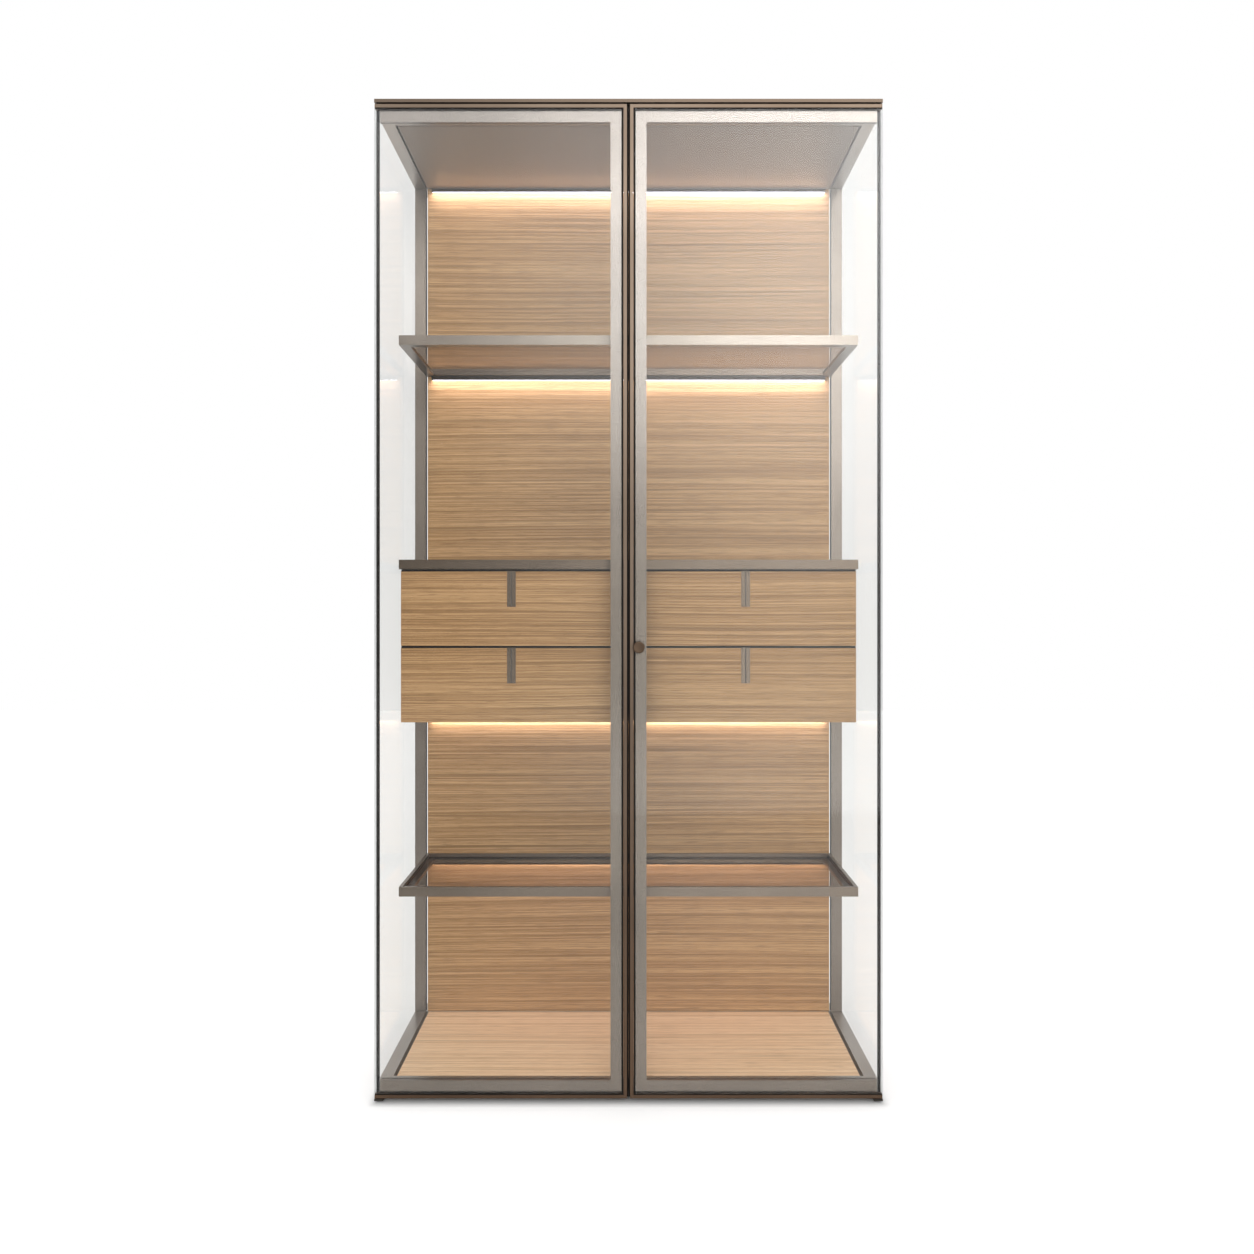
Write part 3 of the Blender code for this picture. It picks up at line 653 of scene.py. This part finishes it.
def make_bead(side, sign):
    """The glazing bead along three edges of one door's pane, narrower at the top and bottom."""
    low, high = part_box(f"door_{side}_glass")
    inner, outer = (low.x, high.x) if sign > 0 else (high.x, low.x)
    end = BEAD_END_SHARE
    path = (
        (outer, high.z, 0, -end), (inner, high.z, sign, -end),
        (inner, low.z, sign, end), (outer, low.z, 0, end),
    )
    rings = []
    for x, z, step_x, step_z in path:
        ring = []
        for reach, rise in BEAD_PROFILE:
            ring.append((x + reach * step_x, low.y - rise, z + reach * step_z))
        rings.append(ring)
    bead = Piece()
    bead.loft(rings)
    bead.make(f"door_{side}_bead", f"door_{side}", (SEAL_AND_SHADE,))


def make_fin(side, sign):
    """The seal on the meeting edge of one door."""
    low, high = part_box(f"door_{side}_frame")
    edge = low.x if sign > 0 else high.x
    root = edge - sign * FIN_FOOT_REACH
    tip = sign * FIN_GAP
    nose = tip + sign * FIN_NOSE
    half = FIN_THICKNESS / 2
    foot = FIN_FOOT_SHARE * half
    outline = [
        (edge, FIN_Y - foot), (edge, FIN_Y + foot), (root, FIN_Y + half), (nose, FIN_Y + half),
        (tip, FIN_Y), (nose, FIN_Y - half), (root, FIN_Y - half),
    ]
    fin = Piece()
    fin.prism(outline, "z", low.z + FIN_END, high.z - FIN_END)
    fin.make(f"door_{side}_meeting_seal", f"door_{side}", (SEAL_AND_SHADE,))


for door_side, door_sign in SIDES:
    make_bead(door_side, door_sign)
    make_fin(door_side, door_sign)


# Carcass seals and painted shade: a bulb seal on each side glass's front edge, and dark strips that
# paint the shade in the slot behind each upright's flange and under the cap over the doors.
BULB_BASE = 0.0008
BULB_REACH = 0.0039
BULB_WIDTH_SHARE = 0.8
BULB_STEPS = 10
BULB_END = 0.037
FLANGE_THICKNESS = 0.005
SLOT_SHADE_FIT = 0.0001
SLOT_SHADE_REACH = 0.0018
SLOT_SHADE_COVER = 0.006
SLOT_SHADE_THICKNESS = 0.0036
SLOT_SHADE_CHAMFER = 0.0006
SLOT_SHADE_END = 0.001
CAP_SHADE_DEPTH = 0.009
CAP_SHADE_DROP = 0.0032
CAP_SHADE_SETBACK = 0.006
CAP_SHADE_HALF = 0.548
CAP_SHADE_EDGE = 0.001
CAP_SHADE_TAPER = 0.002


def make_bulb_seal(side):
    """The bulb seal on the front edge of one side glass."""
    low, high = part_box(f"side_glass_{side}")
    middle = (low.x + high.x) / 2
    half = (high.x - low.x) / 2
    base = low.y - BULB_BASE
    outline = [(low.x, low.y), (high.x, low.y), (high.x, base)]
    for step in range(BULB_STEPS + 1):
        angle = math.pi * step / BULB_STEPS
        x = middle + BULB_WIDTH_SHARE * half * math.cos(angle)
        outline.append((x, base - (BULB_REACH - BULB_BASE) * math.sin(angle)))
    outline.append((low.x, base))
    seal = Piece()
    seal.prism(outline, "z", low.z + BULB_END, high.z - BULB_END)
    seal.make(f"side_seal_{side}", "cabinet", (SEAL_AND_SHADE,))


def make_slot_shade(side, sign):
    """A dark strip behind one upright's flange, in the slot beside the back panel, that puts painted
    shade on the upright's inner side.
    """
    low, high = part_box(f"upright_{side}")
    edge = low.x if sign > 0 else high.x
    start, end = sorted((edge - sign * SLOT_SHADE_REACH, edge + sign * SLOT_SHADE_COVER))
    front = low.y + FLANGE_THICKNESS + SLOT_SHADE_FIT
    outline = rectangle((start, front), (end, front + SLOT_SHADE_THICKNESS), SLOT_SHADE_CHAMFER)
    slot_shade = Piece()
    slot_shade.prism(outline, "z", low.z + SLOT_SHADE_END, high.z - SLOT_SHADE_END)
    slot_shade.make(f"slot_shade_strip_{side}", "cabinet", (SEAL_AND_SHADE,))


def make_cap_shade():
    """A dark strip under the cap, above the doors' top edges, that puts painted shade in the gap
    there.
    """
    low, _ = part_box("top_cap")
    front = low.y + CAP_SHADE_SETBACK
    back = front + CAP_SHADE_DEPTH
    bottom = low.z - CAP_SHADE_DROP
    shoulder = low.z - CAP_SHADE_EDGE
    outline = [
        (front + CAP_SHADE_EDGE, low.z), (front, shoulder), (front + CAP_SHADE_TAPER, bottom),
        (back - CAP_SHADE_TAPER, bottom), (back, shoulder), (back - CAP_SHADE_EDGE, low.z),
    ]
    strip = Piece()
    strip.prism(outline, "x", -CAP_SHADE_HALF, CAP_SHADE_HALF)
    strip.make("top_gap_shade_strip", "cabinet", (SEAL_AND_SHADE,))


for door_side, door_sign in SIDES:
    make_bulb_seal(door_side)
    make_slot_shade(door_side, door_sign)
make_cap_shade()


# Knob: (radius, height) from its front face back to the glass.
KNOB_PROFILE = (
    (0.0, 0.0177), (0.0088, 0.0177), (0.0102, 0.0180), (0.0117, 0.0180), (0.0126, 0.0174),
    (0.0130, 0.0164), (0.0130, 0.0092), (0.0127, 0.0084), (0.0118, 0.0080), (0.0070, 0.0080),
    (0.0062, 0.0077), (0.0060, 0.0070), (0.0060, 0.0024), (0.0063, 0.0017), (0.0080, 0.0014),
    (0.0084, 0.0009), (0.0084, 0.0003), (0.0, 0.0003),
)


def make_knob():
    """The turned knob in place of its CAD node."""
    low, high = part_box("door_knob")
    pane_low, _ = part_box("door_right_glass")
    centre = Vector(((low.x + high.x) / 2, pane_low.y, (low.z + high.z) / 2))
    knob = Piece()
    knob.turn(KNOB_PROFILE, centre, FORWARDS)
    knob.make("turned_knob", "door_right", (BRONZE_KNOB,), ("door_knob",))


make_knob()


# Drawer pulls: a dark slit down the middle of each inlaid strip.
SLIT_HALF = 0.0008
SLIT_PROUD = 0.0001
SLIT_DEPTH = 0.0006
SLIT_END = 0.0015


def make_slit(drawer):
    """The slit in the pull of one drawer."""
    low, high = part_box(drawer + "_pull")
    middle = (low.x + high.x) / 2
    face = low.y - SLIT_PROUD
    back = low.y + SLIT_DEPTH
    outline = [
        (middle - SLIT_HALF, back), (middle - SLIT_HALF, low.y), (middle - SLIT_HALF / 2, face),
        (middle + SLIT_HALF / 2, face), (middle + SLIT_HALF, low.y), (middle + SLIT_HALF, back),
    ]
    slit = Piece()
    slit.prism(outline, "z", low.z + SLIT_END, high.z - SLIT_END)
    slit.make(drawer + "_pull_slit", drawer, (SLIT,))


# Painted shade: a dark strip over the top edge of each front nearly closes the gap above it, so the
# gap reads as shade, with a narrow painted shadow line on the face beside the pull.
LIP_SETBACK = 0.003
LIP_DEPTH = 0.010
LIP_FIT = 0.0004
LIP_END = 0.0005
LIP_EDGE = 0.001
LIP_FACE = 0.0010
LIP_PROUD = 0.00015
LIP_WEB = 0.0006


def make_gap_shade(drawer, above):
    """The dark strip that paints shade into the gap above one drawer, under the node above it."""
    low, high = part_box(drawer + "_front")
    pull_low, pull_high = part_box(drawer + "_pull")
    over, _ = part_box(above)
    front = low.y + LIP_SETBACK
    back = front + LIP_DEPTH
    top = over.z - LIP_FIT
    web = high.z + LIP_WEB
    start = low.x + LIP_END
    end = high.x - LIP_END
    outline = [
        (low.y, high.z), (back, high.z), (back, top - LIP_EDGE), (back - LIP_EDGE, top),
        (front + LIP_EDGE, top), (front, top - LIP_EDGE), (front, web), (low.y, web),
    ]
    lip = Piece()
    lip.prism(outline, "x", start, end)
    strip = rectangle((low.y - LIP_PROUD, high.z - LIP_FACE), (low.y, web))
    lip.prism(strip, "x", start, pull_low.x - LIP_END)
    lip.prism(strip, "x", pull_high.x + LIP_END, end)
    lip.make(drawer + "_gap_shade_lip", drawer, (SEAL_AND_SHADE,))


for side, _ in SIDES:
    for row in ROWS:
        make_slit(f"drawer_{row}_{side}")
    make_gap_shade(f"drawer_upper_{side}", "case_top")
    make_gap_shade(f"drawer_lower_{side}", f"drawer_upper_{side}_front")


# Levelling feet: a dished pad, a threaded stem and a lock nut.
PAD_PROFILE = (
    (0.0, 0.0), (0.0150, 0.0), (0.0172, 0.0006), (0.0180, 0.0018), (0.0180, 0.0030),
    (0.0172, 0.0038), (0.0120, 0.0052), (0.0090, 0.0060), (0.0, 0.0060),
)
STEM_OUTER = 0.0060
STEM_INNER = 0.0052
THREAD_PITCH = 0.0010
NUT_ACROSS = 0.0095
NUT_HEIGHT = 0.0032
NUT_FACE_SHARE = 0.9
NUT_CHAMFER_SHARE = 0.8
NUT_SIDES = 6


def make_foot(end, side):
    """One levelling foot in place of its CAD node."""
    node = f"foot_{end}_{side}"
    low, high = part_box(node)
    centre = Vector(((low.x + high.x) / 2, (low.y + high.y) / 2, 0.0))
    level = PAD_PROFILE[-1][1]
    nut_bottom = high.z - NUT_HEIGHT
    stem = [(0.0, level)]
    while level + THREAD_PITCH <= nut_bottom:
        stem.append((STEM_INNER, level))
        stem.append((STEM_OUTER, level + THREAD_PITCH / 2))
        level += THREAD_PITCH
    stem.append((STEM_INNER, level))
    stem.append((STEM_INNER, high.z))
    stem.append((0.0, high.z))
    nut = (
        (0.0, nut_bottom), (NUT_ACROSS * NUT_FACE_SHARE, nut_bottom),
        (NUT_ACROSS, high.z - NUT_HEIGHT * NUT_CHAMFER_SHARE), (NUT_ACROSS, high.z), (0.0, high.z),
    )
    foot = Piece()
    foot.turn(PAD_PROFILE, centre)
    foot.turn(stem, centre, material=1, steps=SMALL_STEPS)
    foot.turn(nut, centre, material=1, steps=NUT_SIDES)
    foot.make("levelling_" + node, "cabinet", (RUBBER, STEEL), (node,))


for foot_end in ("front", "back"):
    for foot_side, _ in SIDES:
        make_foot(foot_end, foot_side)


# Magnetic catch: a housing with a pole plate for each door.
CATCH_CHAMFER = 0.0015
CATCH_ROUNDING = 0.0004
POLE_RADIUS = 0.0042
POLE_FACE_SHARE = 0.85
POLE_PROUD = 0.0002
POLE_DEPTH = 0.002
POLE_PROFILE = (
    (0.0, POLE_PROUD), (POLE_RADIUS * POLE_FACE_SHARE, POLE_PROUD), (POLE_RADIUS, 0.0),
    (POLE_RADIUS, -POLE_DEPTH), (0.0, -POLE_DEPTH),
)


def make_catch():
    """The catch in place of its CAD node."""
    low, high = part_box("door_catch")
    housing = Piece()
    outline = rectangle((low.y, low.z), (high.y, high.z), CATCH_CHAMFER)
    housing.prism(outline, "x", low.x, high.x)
    for _, sign in SIDES:
        centre = Vector((sign * high.x / 2, low.y, (low.z + high.z) / 2))
        housing.turn(POLE_PROFILE, centre, FORWARDS, 1, SMALL_STEPS)
    materials = (BLACK, STEEL)
    replaced = ("door_catch",)
    housing.make("magnet_catch", "cabinet", materials, replaced, CATCH_ROUNDING)


make_catch()


# Driver on the back panel, its ribs, and the duct that takes its wires to the light bars.
RIB_COUNT = 13
RIB_RISE = 0.0016
RIB_WIDTH = 0.0036
RIB_ROOT = 0.0005
RIB_END = 0.006
DRIVER_CHAMFER = 0.004
DRIVER_ROUNDING = 0.0005
TERMINAL_LENGTH = 0.034
TERMINAL_INSET = 0.006
TERMINAL_CHAMFER = 0.002
DUCT_HALF = 0.011
DUCT_RISE = 0.0095
DUCT_SIDE_SHARE = 0.7
DUCT_EDGE = 0.0015
DUCT_DRIVER_GAP = 0.0005
DUCT_TOP_GAP = 0.001
DUCT_ROUNDING = 0.0005
BOX_HALF = (0.028, 0.020)
BOX_RISE = 0.014
BOX_CHAMFER = 0.004
BOX_SCREW_SHARE = 0.72
SCREW_COLUMNS = (-0.495, -0.25, 0.25, 0.495)
SCREW_LEVELS = (0.085, 0.63, 1.03, 1.55, 2.155)
SCREW_PROFILE = (
    (0.0, 0.0004), (0.0014, 0.0004), (0.0015, 0.0013), (0.0026, 0.0014), (0.0035, 0.0008),
    (0.0037, 0.0), (0.0, 0.0),
)


def add_screw(piece, place, material=0):
    """A screw head that faces backwards."""
    piece.turn(SCREW_PROFILE, Vector(place), BACKWARDS, material, SCREW_STEPS)


def make_driver():
    """The ribbed driver in place of its CAD node."""
    low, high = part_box("light_driver")
    face = high.y - RIB_RISE
    start = low.x + TERMINAL_LENGTH
    end = high.x - TERMINAL_LENGTH
    driver = Piece()
    driver.prism(rectangle((low.y, low.z), (face, high.z), DRIVER_CHAMFER), "x", start, end)
    lower = (low.y, low.z + TERMINAL_INSET)
    upper = (face - TERMINAL_INSET, high.z - TERMINAL_INSET)
    terminal = rectangle(lower, upper, TERMINAL_CHAMFER)
    driver.prism(terminal, "x", low.x, start, 1)
    driver.prism(terminal, "x", end, high.x, 1)
    pitch = (end - start) / RIB_COUNT
    root = face - RIB_ROOT
    for rib in range(RIB_COUNT):
        middle = start + pitch * (rib + 0.5)
        outline = [
            (middle - RIB_WIDTH / 2, root), (middle + RIB_WIDTH / 2, root),
            (middle + RIB_WIDTH / 3, high.y), (middle - RIB_WIDTH / 3, high.y),
        ]
        driver.prism(outline, "z", low.z + RIB_END, high.z - RIB_END)
    for x in (low.x + TERMINAL_LENGTH / 2, high.x - TERMINAL_LENGTH / 2):
        add_screw(driver, (x, upper[0], (low.z + high.z) / 2), 2)
    materials = (BLACK, BOARD_GREY, STEEL)
    replaced = ("light_driver",)
    driver.make("ribbed_driver", "cabinet", materials, replaced, DRIVER_ROUNDING)


def make_duct():
    """The wire duct down the back panel, with a cover box behind each of the lower light bars."""
    _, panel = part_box("back_panel")
    driver_low, driver_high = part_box("light_driver")
    levels = []
    for node in LIGHT_BARS[1:]:
        low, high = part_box(node)
        levels.append((low.z + high.z) / 2)
    side = panel.y + DUCT_RISE * DUCT_SIDE_SHARE
    face = panel.y + DUCT_RISE
    outline = [
        (-DUCT_HALF, panel.y), (DUCT_HALF, panel.y), (DUCT_HALF, side),
        (DUCT_HALF - DUCT_EDGE, face), (DUCT_EDGE - DUCT_HALF, face), (-DUCT_HALF, side),
    ]
    duct = Piece()
    duct.prism(outline, "z", driver_high.z + DUCT_DRIVER_GAP, panel.z - DUCT_TOP_GAP)
    duct.prism(outline, "z", min(levels), driver_low.z - DUCT_DRIVER_GAP)
    lid = panel.y + BOX_RISE
    for level in levels:
        low = (-BOX_HALF[0], level - BOX_HALF[1])
        high = (BOX_HALF[0], level + BOX_HALF[1])
        duct.prism(rectangle(low, high, BOX_CHAMFER), "y", panel.y, lid)
        for _, sign in SIDES:
            add_screw(duct, (sign * BOX_HALF[0] * BOX_SCREW_SHARE, lid, level), 1)
    duct.make("wire_duct", "cabinet", (BOARD_GREY, STEEL), (), DUCT_ROUNDING)


def make_back_screws():
    """The screws that hold the back panel to its clips."""
    _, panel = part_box("back_panel")
    screws = Piece()
    for x in SCREW_COLUMNS:
        for z in SCREW_LEVELS:
            add_screw(screws, (x, panel.y, z))
    screws.make("back_panel_screws", "cabinet", (STEEL,))


make_driver()
make_duct()
make_back_screws()


# ------------------------------------------------------------------ stage, lamps and camera

# World.
WORLD_SEEN = 1.0
WORLD_AMBIENT = 0.72

# Floor. A lift is how much whiter it looks, by the distance from the footprint as a share of reach.
# It is held back near the footprint, which paints shade round the object on top of its real shadow.
FLOOR_COLOUR = (0.82, 0.82, 0.815, 1.0)
FLOOR_ROUGHNESS = 0.9
FLOOR_GLOSS = 0.1
FLOOR_HALF = 9.0
FLOOR_FOOTPRINT = (0.56, 0.235)
FLOOR_LIFTS = ((0.0, 0.0), (0.07, 0.40), (0.45, 0.46), (1.0, 0.50))
FLOOR_LIFT_REACH = 0.30

# Dark cloth: its place, its fading edges and the part of the floor where it is thinner.
CARD_Y = -4.6
CARD_HALF = 3.2
CARD_TOP = 3.6
CARD_FLOOR_Z = 0.002
CARD_FADE = 0.8
CARD_SIDE_FADE = 0.5
CARD_NEAR = -0.6
CARD_FLOOR_SIDES = (-0.75, 0.20)
CARD_FLOOR_SHARE = 0.6
CARD_FLOOR_EDGE = (0.80, 1.25)
CARD_FUZZ = 400.0
CARD_LEVELS = ((0.3, 0.010), (0.7, 0.020))
CARD_ROUGHNESS = 0.95

# Softbox: (position, level) across and up it, and the level that its top keeps from side to side.
SOFTBOX_PLACE = (0.55, -3.63, 2.1)
SOFTBOX_SIZE = (4.3, 4.2)
SOFTBOX_RADIANCE = 5.2
SOFTBOX_SIDES = ((0.14, 0.13), (0.60, 1.0), (0.74, 0.70))
SOFTBOX_HEIGHTS = ((0.0, 0.32), (0.28, 0.32), (0.40, 0.46), (0.61, 1.0))
SOFTBOX_EVEN_SPAN = (0.67, 0.86)
SOFTBOX_EVEN_LEVEL = 0.24

# Fill.
FILL_PLACE = (0.0, -3.7, 1.9)
FILL_SIZE = (4.0, 2.0)
FILL_RADIANCE = 2.6

# Lamp of each light bar: share of the radiance, width, and drop below the bar.
LED_RADIANCE = 12.0
LED_LAMPS = {
    "ceiling_light": (1.15, 0.030, 0.0006),
    "upper_shelf_light": (0.92, 0.034, 0.0006),
    "case_light": (1.35, 0.016, 0.028),
    "lower_shelf_light": (0.27, 0.06, 0.0006),
}

# Camera, found from the photograph's verticals and horizon.
PHOTO_SIDE = 1254
CAMERA_PLACE = (0.0, -2.6415, 1.098)
FOCAL_PIXELS = 1084.8
SENSOR = 36.0
CENTRE_PIXEL = (628.5, 608.5)

FACING_BACKWARDS = (math.pi / 2, 0.0, 0.0)


def seen_rays(n):
    """1 for rays that show the background: from the camera, mirrors and glass."""
    path = n.add("LightPath")
    mirrored = n.math("MAXIMUM", path.outputs["Is Glossy Ray"], path.outputs["Is Transmission Ray"])
    return n.math("MAXIMUM", path.outputs["Is Camera Ray"], mirrored)


def make_world():
    """White where it is seen, and an even soft light elsewhere."""
    world = bpy.data.worlds.new("studio")
    bpy.context.scene.world = world
    world.use_nodes = True
    n = Nodes(world.node_tree)
    background = world.node_tree.nodes["Background"]
    n.feed(background.inputs["Strength"], n.remap(seen_rays(n), WORLD_AMBIENT, WORLD_SEEN))
    background.inputs["Color"].default_value = (*WHITE, 1.0)


def make_floor():
    """A pale floor that keeps the object's shadow, and turns white away from it where it is seen,
    with painted shade near the footprint.
    """
    bpy.ops.mesh.primitive_plane_add(size=2.0 * FLOOR_HALF)
    floor = bpy.context.object
    floor.name = "studio_floor"
    material, n, shader = new_material("pale_floor")
    set_plain(shader, Base_Color=FLOOR_COLOUR, Roughness=FLOOR_ROUGHNESS)
    set_plain(shader, Specular_IOR_Level=FLOOR_GLOSS, Emission_Color=(*WHITE, 1.0))
    outside = []
    for place, half in zip(n.parts(n.place()), FLOOR_FOOTPRINT):
        beyond = n.math("MAXIMUM", n.math("SUBTRACT", n.math("ABSOLUTE", place), half), 0.0)
        outside.append(n.math("POWER", beyond, 2.0))
    distance = n.math("SQRT", n.math("ADD", *outside))
    away = n.math("DIVIDE", distance, FLOOR_LIFT_REACH, clamp=True)
    # Painted shade: no lift at the footprint, rising over a few centimetres out from it.
    lift = n.grey_ramp(away, FLOOR_LIFTS)
    n.feed(shader.inputs["Emission Strength"], n.math("MULTIPLY", seen_rays(n), lift))
    floor.data.materials.append(material)


def make_card():
    """A dark cloth in front and over the floor, which glass and metal mirror. It takes no light."""
    mesh = bpy.data.meshes.new("dark_card")
    corners = []
    for y, z in ((CARD_NEAR, CARD_FLOOR_Z), (CARD_Y, CARD_FLOOR_Z), (CARD_Y, CARD_TOP)):
        corners += [(-CARD_HALF, y, z), (CARD_HALF, y, z)]
    mesh.from_pydata(corners, [], [(0, 1, 3, 2), (2, 3, 5, 4)])
    card = bpy.data.objects.new("dark_card", mesh)
    bpy.context.scene.collection.objects.link(card)
    material, n, shader = new_material("dark_cloth")
    fuzz = n.noise(n.place(), CARD_FUZZ)
    n.feed(shader.inputs["Base Color"], n.grey_ramp(fuzz, CARD_LEVELS))
    set_plain(shader, Roughness=CARD_ROUGHNESS, Specular_IOR_Level=0.0)
    x, y, z = n.parts(n.place())
    sides = n.remap(n.math("ABSOLUTE", x), 1.0, 0.0, CARD_SIDE_FADE * CARD_HALF, CARD_HALF)
    near = n.remap(y, 1.0, 0.0, CARD_NEAR - CARD_FADE, CARD_NEAR)
    thin = n.remap(x, CARD_FLOOR_SHARE, 0.0, *CARD_FLOOR_SIDES)
    thin = n.math("MAXIMUM", thin, n.remap(x, 0.0, CARD_FLOOR_SHARE, *CARD_FLOOR_EDGE))
    standing = n.remap(z, 0.0, 1.0, 0.0, CARD_FADE)
    foot = n.math("MULTIPLY", near, n.math("MAXIMUM", thin, standing))
    top = n.remap(z, 1.0, 0.0, CARD_TOP - CARD_FADE, CARD_TOP)
    n.feed(shader.inputs["Alpha"], n.math("MULTIPLY", n.math("MULTIPLY", sides, foot), top))
    mesh.materials.append(material)
    card.visible_camera = False
    card.visible_diffuse = False
    card.visible_shadow = False


def area_lamp(name, size, radiance, place, unseen_by):
    """A rectangular lamp of an even radiance, facing down, left out of some kinds of ray."""
    data = bpy.data.lights.new(name, "AREA")
    data.shape = "RECTANGLE"
    data.size, data.size_y = size
    data.energy = radiance * math.pi * size[0] * size[1]
    lamp = bpy.data.objects.new(name, data)
    bpy.context.scene.collection.objects.link(lamp)
    lamp.location = place
    for rays in unseen_by:
        setattr(lamp, "visible_" + rays, False)
    return lamp


def make_softbox():
    """A large soft light in front, above and to the right, fading to its lower and left edges."""
    unseen_by = ("camera", "diffuse")
    softbox = area_lamp("softbox", SOFTBOX_SIZE, SOFTBOX_RADIANCE, SOFTBOX_PLACE, unseen_by)
    softbox.rotation_euler = FACING_BACKWARDS
    softbox.data.use_nodes = True
    n = Nodes(softbox.data.node_tree)
    emission = softbox.data.node_tree.nodes["Emission"]
    u, v, _ = n.parts(n.add("NewGeometry").outputs["Parametric"])
    even = n.remap(v, 0.0, SOFTBOX_EVEN_LEVEL, *SOFTBOX_EVEN_SPAN)
    sideways = n.math("MAXIMUM", n.grey_ramp(u, SOFTBOX_SIDES), even)
    upwards = n.grey_ramp(v, SOFTBOX_HEIGHTS)
    n.feed(emission.inputs["Strength"], n.math("MULTIPLY", sideways, upwards))


def make_fill():
    """An even frontal light, too soft to show in the glass."""
    unseen_by = ("camera", "glossy", "transmission")
    fill = area_lamp("fill", FILL_SIZE, FILL_RADIANCE, FILL_PLACE, unseen_by)
    fill.rotation_euler = FACING_BACKWARDS


def make_strip_lamp(node):
    """The light of one bar's strip of diodes, shining down the back panel."""
    share, width, drop = LED_LAMPS[node]
    low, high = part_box(node)
    size = (high.x - low.x, width)
    place = (0.0, high.y - width / 2, low.z - drop)
    unseen_by = ("camera", "glossy", "transmission")
    strip = area_lamp(node + "_lamp", size, share * LED_RADIANCE, place, unseen_by)
    strip.data.color = LED_COLOUR[:3]


def make_camera():
    """The camera at the photograph's place."""
    data = bpy.data.cameras.new("photo_camera")
    data.sensor_width = SENSOR
    data.lens = FOCAL_PIXELS * SENSOR / PHOTO_SIDE
    data.shift_x = (PHOTO_SIDE / 2 - CENTRE_PIXEL[0]) / PHOTO_SIDE
    data.shift_y = (CENTRE_PIXEL[1] - PHOTO_SIDE / 2) / PHOTO_SIDE
    camera = bpy.data.objects.new("photo_camera", data)
    bpy.context.scene.collection.objects.link(camera)
    camera.location = CAMERA_PLACE
    camera.rotation_euler = FACING_BACKWARDS
    bpy.context.scene.camera = camera


make_world()
make_floor()
make_card()
make_softbox()
make_fill()
for light in LIGHT_BARS:
    make_strip_lamp(light)
make_camera()
bpy.context.scene.view_settings.view_transform = "Standard"
